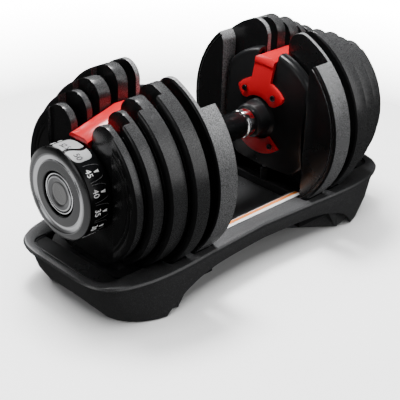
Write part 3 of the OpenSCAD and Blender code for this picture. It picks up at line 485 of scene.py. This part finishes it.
def finishes():
    """Every finish of the dumbbell by the record's slot name, and those of the markings."""
    tint = bpy.context.scene.dumbbell_colours
    groups = {"grain": moulded_grain_group(), "turned": turned_metal_group()}
    printed = dict(size=2000, share=0.2, gloss=(0.4, 0.5), depth=0.1, specular=0.4)
    sticker = dict(size=1500, share=0.2, gloss=(0.35, 0.45), depth=0.1, specular=0.5)
    grained_looks = {
        # The rim amounts below paint light onto the plates' rims, most on the fifth plates' broad rims
        "plate_coat": dict(
            colour=tint.coat, grains=tint.sand,
            size=1300, share=0.5, gloss=(0.20, 0.29), depth=0.35, specular=0.7, rim=0.17,
        ),
        "plate_coat_broad": dict(
            colour=tint.coat, grains=tint.sand,
            size=1200, share=0.5, gloss=(0.22, 0.30), depth=0.35, specular=0.5, rim=0.9,
        ),
        "tray_plastic": dict(
            colour=tint.tray, grains=(0.17, 0.171, 0.175),
            size=1100, share=0.6, gloss=(0.30, 0.40), depth=0.25, specular=0.8,
        ),
        "deck_plastic": dict(
            colour=(0.026, 0.0263, 0.0272), grains=tint.sand,
            size=2600, share=0.1, gloss=(0.26, 0.34), depth=0.2, specular=0.5,
        ),
        "rack_plastic": dict(
            colour=(0.005, 0.005, 0.006), grains=tint.coat,
            size=2000, share=0.1, gloss=(0.5, 0.6), depth=0.3, specular=0.4, dust=0.02,
        ),
        "cover_plastic": dict(
            colour=tint.cover, grains=tint.coat,
            size=2600, share=0.2, gloss=(0.27, 0.36), depth=0.6, specular=0.3,
        ),
        "grip_plastic": dict(
            colour=(0.005, 0.0052, 0.0058), grains=tint.coat,
            size=2600, share=0.2, gloss=(0.2, 0.28), depth=0.4, specular=0.25,
        ),
        "dial_black": dict(
            colour=(0.004, 0.0042, 0.0046), grains=tint.coat,
            size=2800, share=0.2, gloss=(0.17, 0.24), depth=0.3, specular=0.3,
        ),
        "selector_plastic": dict(
            colour=(0.014, 0.014, 0.016), grains=tint.coat,
            size=2000, share=0.2, gloss=(0.45, 0.6), depth=0.4, specular=0.5,
        ),
        "red_paint": dict(
            colour=tint.red, grains=(0.66, 0.015, 0.025),
            size=1800, share=0.2, gloss=(0.20, 0.28), depth=0.3, specular=0.35,
        ),
        "pad_rubber": dict(
            colour=(0.01, 0.01, 0.01), grains=tint.coat,
            size=1500, share=0.2, gloss=(0.7, 0.85), depth=0.6, specular=0.3, dust=0.02,
        ),
        "mark_white": dict(colour=tint.mark, grains=(0.7, 0.7, 0.7), **printed),
        "mark_grey": dict(colour=(0.07, 0.07, 0.072), grains=(0.09, 0.09, 0.09), **printed),
        "mark_dark": dict(colour=(0.006, 0.006, 0.007), grains=(0.01, 0.01, 0.01), **printed),
        "patch_silver": dict(
            colour=(0.36, 0.364, 0.37), grains=(0.46, 0.46, 0.46),
            size=2600, share=0.4, gloss=(0.28, 0.38), depth=0.2, specular=0.6,
        ),
        "strip_white": dict(colour=(0.92, 0.92, 0.92), grains=(0.88, 0.88, 0.88), **sticker),
        "strip_orange": dict(colour=(0.85, 0.24, 0.035), grains=(0.9, 0.30, 0.06), **sticker),
    }
    metal_looks = {
        "dial_silver": dict(colour=tint.silver, gloss=(0.26, 0.36), rings=700.0),
        "collar_chrome": dict(colour=(0.80, 0.80, 0.82), gloss=(0.05, 0.10), rings=500.0, depth=0.2),
        "shaft_steel": dict(colour=(0.55, 0.55, 0.57), gloss=(0.25, 0.4), rings=900.0),
        "fastener_steel": dict(colour=(0.06, 0.06, 0.065), gloss=(0.3, 0.42), rings=600.0),
    }
    made = {name: grained(name, groups, **values) for name, values in grained_looks.items()}
    made.update({name: metal(name, groups, **values) for name, values in metal_looks.items()})
    made["dial_front"] = banded_metal("dial_front", groups, FRONT_BANDS)
    return made


def slots():
    """Node name to material slot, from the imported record."""
    return {s["node"]: s["material_slot"] for s in frame["record"]["subparts"]}


def finish(name):
    """The made finish of that name."""
    material = bpy.data.materials.get("look_" + name)
    if material is None:
        raise RuntimeError("finish " + name + " isn't made yet")
    return material


# ---------- meshes ----------


def smooth(mesh):
    """Marks every face of a mesh as smooth."""
    mesh.polygons.foreach_set("use_smooth", np.full(len(mesh.polygons), True))


def riding(name, mesh, body):
    """A new object in the scene for a mesh, riding on a body."""
    piece = bpy.data.objects.new(name, mesh)
    bpy.context.scene.collection.objects.link(piece)
    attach(piece, body)
    return piece


def add_piece(name, points, faces, material, body):
    """A mesh object from arrays of points and faces, riding on a body."""
    mesh = bpy.data.meshes.new(name)
    mesh.from_pydata(points.tolist(), [], faces.tolist())
    mesh.validate()
    smooth(mesh)
    mesh.materials.append(finish(material))
    return riding(name, mesh, body)


def slab_faces(columns, rows):
    """Faces of a closed slab: two grids of columns by rows points, outer then inner, joined at their edge."""
    at = np.arange(columns * rows).reshape(rows, columns)
    a, b, c, d = at[:-1, :-1], at[:-1, 1:], at[1:, 1:], at[1:, :-1]
    outer = np.stack([a, b, c, d], -1).reshape(-1, 4)
    inner = outer[:, ::-1] + columns * rows
    loop = np.concatenate([at[0, :], at[1:, -1], at[-1, -2::-1], at[-2:0:-1, 0]])
    after = np.roll(loop, -1)
    rim = np.stack([after, loop, loop + columns * rows, after + columns * rows], -1)
    return np.concatenate([outer, inner, rim])


def drum_point(side, along, angle, lift):
    """A point on a dial's drum: along is the distance in from the dial's front, angle is measured from +Y
    towards +Z, and lift is how far the point stands off the drum."""
    x = side * (FRONT_X - np.asarray(along))
    radius = DRUM_R + np.asarray(lift)
    return np.stack(np.broadcast_arrays(x, radius * np.cos(angle), AXIS_Z + radius * np.sin(angle)), -1)


def drum_patch(name, side, along, angle, lift, material, body):
    """A thin slab bent round the drum: along and angle are grids of the same shape, lift its outer height."""
    rows, columns = along.shape
    outer = drum_point(side, along, angle, lift).reshape(-1, 3)
    inner = drum_point(side, along, angle, SINK).reshape(-1, 3)
    faces = slab_faces(columns, rows)
    piece = add_piece(name, np.concatenate([outer, inner]), faces, material, body)
    outward(piece)
    return piece


def outward(piece):
    """Turns every face of a closed mesh outwards."""
    work = bmesh.new()
    work.from_mesh(piece.data)
    bmesh.ops.remove_doubles(work, verts=work.verts, dist=WELD)
    bmesh.ops.recalc_face_normals(work, faces=work.faces)
    work.to_mesh(piece.data)
    work.free()


def join_meshes(name, parts, body):
    """One object from several of one material each, with their materials kept; the parts are removed."""
    work = bmesh.new()
    materials = []
    for part in parts:
        mesh = part.data
        if mesh.materials[0] not in materials:
            materials.append(mesh.materials[0])
        index = materials.index(mesh.materials[0])
        mesh.polygons.foreach_set("material_index", np.full(len(mesh.polygons), index, dtype=np.int32))
        work.from_mesh(mesh)
        bpy.data.objects.remove(part)
        bpy.data.meshes.remove(mesh)
    joined = bpy.data.meshes.new(name)
    work.to_mesh(joined)
    work.free()
    for material in materials:
        joined.materials.append(material)
    return riding(name, joined, body)


TURN_STEPS = 144


def turned(name, side, profile, material, body):
    """A closed profile turned about the handle's axis, y = r cos t, z = axis + r sin t; the profile is pairs
    of a radius and a depth behind the dial's front, in millimetres."""
    profile = np.array(profile) / 1000.0
    rows = len(profile)
    turn = np.linspace(0, 2 * math.pi, TURN_STEPS, endpoint=False)[:, None]
    radius, deep = profile[:, 0][None, :], profile[:, 1][None, :]
    x = side * (FRONT_X - deep) + 0 * turn
    points = np.stack([x, radius * np.cos(turn), AXIS_Z + radius * np.sin(turn)], -1).reshape(-1, 3)
    at = np.arange(TURN_STEPS * rows).reshape(TURN_STEPS, rows)
    after, below = np.roll(at, -1, 0), np.roll(at, -1, 1)
    faces = np.stack([at, after, np.roll(after, -1, 1), below], -1).reshape(-1, 4)
    piece = add_piece(name, points, faces, material, body)
    outward(piece)
    return piece


FLAT_ANGLE = math.radians(0.6)  # faces that meet at less than this are one face
SHARP_ANGLE = math.radians(32)  # edges that turn by more than this are rounded


def rounded_copy(node, width, segments, material):
    """A merged copy of a CAD node whose sharp edges are rounded by a bevel; it stands for the node."""
    mesh = frame["nodes"][node].data.copy()
    mesh.name = node + "_rounded"
    work = bmesh.new()
    work.from_mesh(mesh)
    bmesh.ops.remove_doubles(work, verts=work.verts, dist=WELD)
    bmesh.ops.dissolve_limit(
        work,
        angle_limit=FLAT_ANGLE,
        use_dissolve_boundaries=False,
        verts=work.verts,
        edges=work.edges,
        delimit=set(),
    )
    work.to_mesh(mesh)
    work.free()
    mesh.materials.clear()
    mesh.materials.append(material)
    smooth(mesh)
    bodies = frame["record"]["behaviour"]["bodies"]
    body = [name for name, members in bodies.items() if node in members][0]
    piece = riding(node + "_rounded", mesh, body)
    bevel = piece.modifiers.new("edges", "BEVEL")
    bevel.width = width
    bevel.segments = segments
    bevel.limit_method = "ANGLE"
    bevel.angle_limit = SHARP_ANGLE
    bevel.use_clamp_overlap = True
    bevel.harden_normals = True
    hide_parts(node)
    return piece


# ---------- operators ----------


class DUMBBELL_OT_finishes(bpy.types.Operator):
    """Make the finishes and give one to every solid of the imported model"""

    bl_idname = "dumbbell.finishes"
    bl_label = "Finish the solids"

    def execute(self, context):
        made = finishes()
        for node, slot_name in slots().items():
            solid = frame["nodes"][node]
            solid.data.materials.clear()
            solid.data.materials.append(made[slot_name])
        return {"FINISHED"}


class DUMBBELL_OT_edges(bpy.types.Operator):
    """Round the sharp edges of the plates, mouldings, red metal pieces, grip and collars"""

    bl_idname = "dumbbell.edges"
    bl_label = "Round the edges"

    def execute(self, context):
        edges = context.scene.dumbbell_edges
        kinds = {
            "plate_coat": edges.plate,
            "red_paint": edges.metal,
            "dial_black": edges.moulding,
            "deck_plastic": edges.moulding,
            "tray_plastic": edges.moulding,
            "cover_plastic": edges.moulding,
            "rack_plastic": edges.moulding,
            "grip_plastic": edges.metal,
            "collar_chrome": edges.metal,
        }
        for node, slot_name in slots().items():
            if slot_name in kinds:
                look = "plate_coat_broad" if node.startswith("plate_5_") else slot_name
                rounded_copy(node, kinds[slot_name], edges.segments, finish(look))
        return {"FINISHED"}


class DUMBBELL_OT_fronts(bpy.types.Operator):
    """Turn the metal fronts of the dials: a ring with a sloped edge, and a dished cap with inner rings"""

    bl_idname = "dumbbell.fronts"
    bl_label = "Dial fronts"

    # Radius and depth behind the dial's front, in millimetres
    RING = [
        (44.45, 4.0), (44.45, 2.5), (44.3, 2.1), (43.9, 1.8), (41.5, 0.75), (39.5, 0.16), (38.9, 0.03),
        (38.3, 0.03), (37.8, 0.14), (37.3, 0.4), (35.6, 1.6), (34.2, 2.3), (33.4, 2.5), (32.6, 2.5),
        (32.2, 2.3), (31.9, 1.7), (31.5, 1.45), (31.0, 1.4), (26.0, 1.25), (23.6, 1.1), (22.9, 1.1),
        (22.4, 1.3), (22.0, 1.75), (21.85, 2.4), (21.85, 4.0),
    ]
    CAP = [
        (0.0, 12.0), (20.1, 12.0), (20.1, 8.6), (19.8, 8.2), (19.75, 2.9), (19.6, 2.5), (19.2, 2.25),
        (18.8, 2.25), (18.5, 2.5), (18.3, 3.2), (17.9, 4.1), (17.3, 4.1), (17.15, 3.0), (16.9, 2.2),
        (16.4, 1.8), (15.9, 1.75), (14.0, 2.2), (11.6, 2.65), (11.3, 2.95), (10.7, 2.95), (10.4, 2.7),
        (8.0, 2.95), (4.0, 3.1), (0.0, 3.12),
    ]

    def execute(self, context):
        for side_name, side in SIDES.items():
            body = "dial_" + side_name
            ring = turned("dial_front_ring_" + side_name, side, self.RING, "dial_front", body)
            cap = turned("dial_front_cap_" + side_name, side, self.CAP, "dial_front", body)
            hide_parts("dial_bezel_" + side_name)
            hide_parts("dial_cap_" + side_name)
        return {"FINISHED"}


class DUMBBELL_OT_numerals(bpy.types.Operator):
    """Raise the numerals of the settings round both dials"""

    bl_idname = "dumbbell.numerals"
    bl_label = "Dial numerals"

    FONT_SCALE = 1.38  # font size for each metre of a digit's height
    PATCH_RELIEF = 3  # how many times higher the numerals on the silver patches stand
    WIDTH, LONG_WIDTH = 0.9, 0.74  # how far a numeral is narrowed, and one of four characters

    def execute(self, context):
        marks = context.scene.dumbbell_marks
        for side_name, side in SIDES.items():
            parts = [self.numeral(side_name, side, k, marks) for k in range(len(SETTINGS))]
            join_meshes("numerals_" + side_name, parts, "dial_" + side_name)
        return {"FINISHED"}

    def numeral(self, side_name, side, k, marks):
        """One numeral bent round the drum: its width runs round the drum and its height along the axis."""
        on_patch = k < len(PATCH_SPANS)
        curve = bpy.data.curves.new("numeral", "FONT")
        curve.body = SETTINGS[k]
        curve.align_x, curve.align_y = "CENTER", "CENTER"
        curve.size = marks.digit_height * self.FONT_SCALE
        curve.extrude = 0.5
        flat = bpy.data.objects.new("numeral", curve)
        mesh = bpy.data.meshes.new_from_object(flat)
        bpy.data.objects.remove(flat)
        points = np.empty(len(mesh.vertices) * 3)
        mesh.vertices.foreach_get("co", points)
        points = points.reshape(-1, 3)
        squeeze = self.LONG_WIDTH if len(SETTINGS[k]) > 3 else self.WIDTH
        around, height, depth = points[:, 0] * squeeze, points[:, 1], points[:, 2]
        angle = math.pi / 2 + STEP * k - side * around / DRUM_R
        along = marks.digit_place + marks.digit_height / 2 + height
        lift = np.where(depth > 0, marks.relief * (self.PATCH_RELIEF if on_patch else 1), SINK)
        mesh.vertices.foreach_set("co", drum_point(side, along, angle, lift).ravel())
        mesh.update()
        mesh.materials.clear()
        mesh.materials.append(finish("mark_dark" if on_patch else "mark_white"))
        piece = bpy.data.objects.new("numeral_%s_%d" % (side_name, k), mesh)
        bpy.context.scene.collection.objects.link(piece)
        outward(piece)
        return piece


class DUMBBELL_OT_ticks(bpy.types.Operator):
    """Lay a wedge-shaped tick and two curved dividers by each numeral off the silver patches"""

    bl_idname = "dumbbell.ticks"
    bl_label = "Dial ticks"

    THIN_END = 0.35  # width of a tick's thin end, where the broad end's is 1
    DIVIDER_LIFT = 0.00006  # how far a divider stands off the drum
    DIVIDER_HALF = 0.00016  # half of a divider's width
    DIVIDER_START, DIVIDER_LENGTH = 0.0085, 0.0150  # from the dial's front, and along the axis
    DIVIDER_NEAR, DIVIDER_REACH = 0.0042, 0.0040  # from the numeral's middle line, and the bend's extra reach

    def execute(self, context):
        marks = context.scene.dumbbell_marks
        for side_name, side in SIDES.items():
            body = "dial_" + side_name
            parts = []
            for k in range(len(PATCH_SPANS), len(SETTINGS)):
                middle = math.pi / 2 + STEP * k
                parts.append(self.tick("tick_%s_%d" % (side_name, k), side, middle, marks, body))
                for way, mark in ((-1, "b"), (1, "a")):
                    name = "divider_%s_%d_%s" % (side_name, k, mark)
                    parts.append(self.divider(name, side, middle, way, body))
            join_meshes("ticks_" + side_name, parts, body)
        return {"FINISHED"}

    def tick(self, name, side, middle, marks, body):
        """A wedge: its half width grows in a straight line along its length, from the thin end's."""
        u, v = np.meshgrid(np.linspace(0, 1, 6), np.linspace(-1, 1, 5))
        half = marks.tick_width / 2 * (self.THIN_END + (1 - self.THIN_END) * u)
        along = marks.tick_place + marks.tick_length * u
        angle = middle + v * half / DRUM_R
        return drum_patch(name, side, along, angle, marks.relief, "mark_white", body)

    def divider(self, name, side, middle, way, body):
        """A thin line beside a numeral that bends towards it at its inner end, nearly a quarter ellipse: with
        t from 0 to a right angle, it lies cos(t) ** 0.8 to the side and sin(t) ** 1.2 along the axis."""
        u, v = np.meshgrid(np.linspace(0, 1, 16), np.linspace(-1, 1, 3))
        turn = u * math.pi / 2
        reach = self.DIVIDER_NEAR + self.DIVIDER_REACH * np.cos(turn) ** 0.8
        along = self.DIVIDER_START + self.DIVIDER_LENGTH * np.sin(turn) ** 1.2
        angle = middle + way * (reach + v * self.DIVIDER_HALF) / DRUM_R
        return drum_patch(name, side, along, angle, self.DIVIDER_LIFT, "mark_grey", body)


class DUMBBELL_OT_patches(bpy.types.Operator):
    """Lay the two silver patches behind the two heaviest settings"""

    bl_idname = "dumbbell.patches"
    bl_label = "Silver patches"

    START, LENGTH = 0.0034, 0.0212  # from the dial's front, and along the axis
    LIFT = 0.00014  # how far a patch stands off the drum
    WAVE = math.radians(3.4)  # how far the S curve swings
    ROUND_OFF = math.radians(9)  # how far an end draws in at its corners

    def execute(self, context):
        for side_name, side in SIDES.items():
            for k, (start, end) in enumerate(PATCH_SPANS):
                self.patch(side_name, side, k, math.radians(start), math.radians(end))
        return {"FINISHED"}

    def patch(self, side_name, side, k, start, end):
        """A leaf: its free end is rounded as a half superellipse of power 4, and the edge that faces its
        neighbour is an S curve, part of a sine."""
        u, v = np.meshgrid(np.linspace(0, 1, 40), np.linspace(0, 1, 24))
        along = self.START + self.LENGTH * v
        wave = self.WAVE * np.sin((v - 0.5) * math.pi * 1.6)
        drawn_in = 1 - np.sqrt(np.clip(1 - (2 * v - 1) ** 4, 0, 1))
        low = start + (wave if k == 1 else self.ROUND_OFF * drawn_in)
        high = end + (wave if k == 0 else -self.ROUND_OFF * drawn_in)
        angle = low + (high - low) * u
        name, body = "patch_%s_%d" % (side_name, k), "dial_" + side_name
        drum_patch(name, side, along, angle, self.LIFT, "patch_silver", body)


class DUMBBELL_OT_strip(bpy.types.Operator):
    """Lay the plain two-tone strip on the front slope of the cradle"""

    bl_idname = "dumbbell.strip"
    bl_label = "Cradle strip"

    # Each band's name, its finish, and where it starts and ends across the strip
    BANDS = (
        ("strip_outer", "strip_white", 0.0, 0.48),
        ("strip_inner", "strip_orange", 0.48, 0.93),
        ("strip_edge", "strip_white", 0.93, 1.0),
    )
    HALF_LENGTH = 0.080
    START, END = 0.0033, 0.0137  # the strip's edges, in from the tub's front
    LIFT, FALL, THICK = 0.00012, 0.0015, 0.0003  # above the tub's top, down across the strip, and through it

    def execute(self, context):
        for name, material, near, far in self.BANDS:
            self.band(name, material, near, far)
        return {"FINISHED"}

    def band(self, name, material, near, far):
        """A thin flat slab, straight along X, that falls evenly from the strip's outer edge to its inner."""
        columns, rows = 40, 4
        u, v = np.meshgrid(
            np.linspace(-self.HALF_LENGTH, self.HALF_LENGTH, columns), np.linspace(near, far, rows)
        )
        outer_edge, inner_edge = TUB_LO.y + self.START, TUB_LO.y + self.END
        y = outer_edge + (inner_edge - outer_edge) * v
        z = TUB_HI.z + self.LIFT - self.FALL * v
        upper = np.stack([u, y, z], -1).reshape(-1, 3)
        lower = upper - np.array([0, 0, self.THICK])
        points, faces = np.concatenate([upper, lower]), slab_faces(columns, rows)
        outward(add_piece(name, points, faces, material, "cradle"))


class DUMBBELL_OT_stage(bpy.types.Operator):
    """Set the pale floor, the soft lights and the camera"""

    bl_idname = "dumbbell.stage"
    bl_label = "Stage"

    # What the low reflector lights: the dials' metal fronts, the collars, the numerals and the ticks
    BRIGHT = ("dial_front", "collar_", "numerals_", "ticks_")
    WHITE_FROM, WHITE_AT = 0.45, 0.85  # distances from the middle between which the floor turns white
    GLOW = 14.0  # how bright the white part of the floor shines

    def execute(self, context):
        stage = context.scene.dumbbell_stage
        floor = self.floor(stage)
        self.world(stage)
        middle = Vector((0, 0, 0.1))
        for name, power, place, width, height in (
            ("key", stage.key_power, (0.05, 0.30, 1.3), 0.4, 0.3),
            ("back", stage.back_power, (-0.15, 1.2, 0.9), 0.8, 0.4),
            ("front", stage.side_power * 2, (0.3, -1.3, 0.6), 2.0, 1.2),
            ("left", stage.side_power * 0.7, (-1.3, 0.1, 0.6), 0.7, 0.7),
        ):
            self.light(name, power, place, middle, width, height)
        paper = self.light("paper", stage.paper_power, (0.0, 0.0, 2.4), middle, 3.0, 3.0)
        self.light_only(paper, "paper_only", [floor])
        above = Vector((0.0, 0.0, 1.0))
        reflector = self.light("reflector", stage.reflector_power, (0.0, 0.0, 0.002), above, 2.6, 2.6)
        reflector.visible_camera = False
        bright = [piece for piece in context.scene.objects if piece.name.startswith(self.BRIGHT)]
        self.light_only(reflector, "bright_metal", bright)
        self.camera(context, stage)
        return {"FINISHED"}

    def light_only(self, lamp, name, pieces):
        """Makes a light reach only the given objects, by a collection of that name."""
        lit = bpy.data.collections.new(name)
        for piece in pieces:
            lit.objects.link(piece)
        lamp.light_linking.receiver_collection = lit

    def floor(self, stage):
        """A wide round sheet that curves up at its edge: a flat run, a quarter circle and a wall, turned about
        Z. It is pale near the dumbbell and white far from it."""
        bend = np.linspace(0, math.pi / 2, 17)
        flat, radius, height, steps = 2.4, 1.2, 6.0, 96
        outward_run = np.concatenate([[0.0], flat + radius * np.sin(bend), [flat + radius]])
        upward_run = np.concatenate([[0.0], radius * (1 - np.cos(bend)), [height]])
        turn = np.linspace(0, 2 * math.pi, steps, endpoint=False)[:, None]
        points = np.stack([outward_run * np.cos(turn), outward_run * np.sin(turn), upward_run + 0 * turn], -1)
        at = np.arange(points[..., 0].size).reshape(steps, -1)
        after = np.roll(at, -1, 0)
        faces = np.stack([at[:, :-1], at[:, 1:], after[:, 1:], after[:, :-1]], -1).reshape(-1, 4)
        mesh = bpy.data.meshes.new("floor")
        mesh.from_pydata(points.reshape(-1, 3).tolist(), [], faces.tolist())
        mesh.validate()
        smooth(mesh)
        # This face lies on the flat run, so it shows which way the sheet faces
        if mesh.polygons[len(mesh.polygons) // 2].normal.z < 0:
            mesh.flip_normals()
        material, tree, bsdf = shader("floor_paper")
        place = tree.nodes.new("ShaderNodeTexCoord").outputs["Object"]
        reach = tree.nodes.new("ShaderNodeVectorMath")
        reach.operation = "LENGTH"
        tree.links.new(place, reach.inputs[0])
        far = remap(tree, reach.outputs["Value"], self.WHITE_FROM, self.WHITE_AT, 0.0, 1.0)
        for label, near_colour, far_colour in (
            ("Base Color", (stage.floor_tone,) * 3, (0.95, 0.95, 0.95)),
            ("Emission Color", (0.0, 0.0, 0.0), (1.0, 1.0, 1.0)),
        ):
            tree.links.new(mix_colour(tree, far, near_colour, far_colour), bsdf.inputs[label])
        bsdf.inputs["Emission Strength"].default_value = self.GLOW
        bsdf.inputs["Roughness"].default_value = 0.7
        bsdf.inputs["Specular IOR Level"].default_value = 0.2
        mesh.materials.append(material)
        floor = bpy.data.objects.new("floor", mesh)
        bpy.context.scene.collection.objects.link(floor)
        floor.visible_diffuse = floor.visible_glossy = floor.visible_shadow = False
        return floor

    def world(self, stage):
        """An even, dim white surround."""
        world = bpy.data.worlds.new("surround")
        world.use_nodes = True
        background = world.node_tree.nodes["Background"]
        background.inputs["Color"].default_value = (1, 1, 1, 1)
        background.inputs["Strength"].default_value = stage.world_tone
        bpy.context.scene.world = world

    def light(self, name, power, place, target, width, height):
        """A soft rectangular light that faces the target."""
        lamp = bpy.data.lights.new(name, "AREA")
        lamp.shape = "RECTANGLE"
        lamp.size, lamp.size_y = width, height
        lamp.energy = power
        holder = bpy.data.objects.new(name, lamp)
        holder.location = place
        holder.rotation_euler = (target - Vector(place)).to_track_quat("-Z", "Y").to_euler()
        bpy.context.scene.collection.objects.link(holder)
        return holder

    def camera(self, context, stage):
        """A camera from its place, yaw, dip and roll."""
        yaw, dip, roll = stage.camera_yaw, stage.camera_dip, stage.camera_roll
        ahead = Vector((math.cos(dip) * math.cos(yaw), math.cos(dip) * math.sin(yaw), -math.sin(dip)))
        right = Vector((math.sin(yaw), -math.cos(yaw), 0))
        up = right.cross(ahead)
        across = math.cos(roll) * right + math.sin(roll) * up
        upward = -math.sin(roll) * right + math.cos(roll) * up
        lens = bpy.data.cameras.new("camera")
        lens.lens = stage.lens
        lens.sensor_width = 36
        holder = bpy.data.objects.new("camera", lens)
        turn = Matrix((across, upward, -ahead)).transposed().to_4x4()
        holder.matrix_world = Matrix.Translation(stage.camera_place) @ turn
        context.scene.collection.objects.link(holder)
        context.scene.camera = holder


class DUMBBELL_PT_panel(bpy.types.Panel):
    """Lists the dumbbell's operators in the sidebar"""

    bl_idname = "DUMBBELL_PT_panel"
    bl_label = "Adjustable dumbbell"
    bl_space_type = "VIEW_3D"
    bl_region_type = "UI"
    bl_category = "Dumbbell"

    def draw(self, context):
        for operator in OPERATORS:
            self.layout.operator(operator.bl_idname)


GROUPS = {
    "dumbbell_stage": DumbbellStage,
    "dumbbell_edges": DumbbellEdges,
    "dumbbell_marks": DumbbellMarks,
    "dumbbell_colours": DumbbellColours,
}
OPERATORS = [
    DUMBBELL_OT_finishes,
    DUMBBELL_OT_edges,
    DUMBBELL_OT_fronts,
    DUMBBELL_OT_numerals,
    DUMBBELL_OT_ticks,
    DUMBBELL_OT_patches,
    DUMBBELL_OT_strip,
    DUMBBELL_OT_stage,
]


def register():
    for name, kind in GROUPS.items():
        bpy.utils.register_class(kind)
        setattr(bpy.types.Scene, name, bpy.props.PointerProperty(type=kind))
    for kind in OPERATORS + [DUMBBELL_PT_panel]:
        bpy.utils.register_class(kind)


def unregister():
    for kind in reversed(OPERATORS + [DUMBBELL_PT_panel]):
        bpy.utils.unregister_class(kind)
    for name, kind in GROUPS.items():
        delattr(bpy.types.Scene, name)
        bpy.utils.unregister_class(kind)


def main():
    register()
    for operator in OPERATORS:
        area, name = operator.bl_idname.split(".")
        getattr(getattr(bpy.ops, area), name)()


if __name__ == "__main__":
    main()
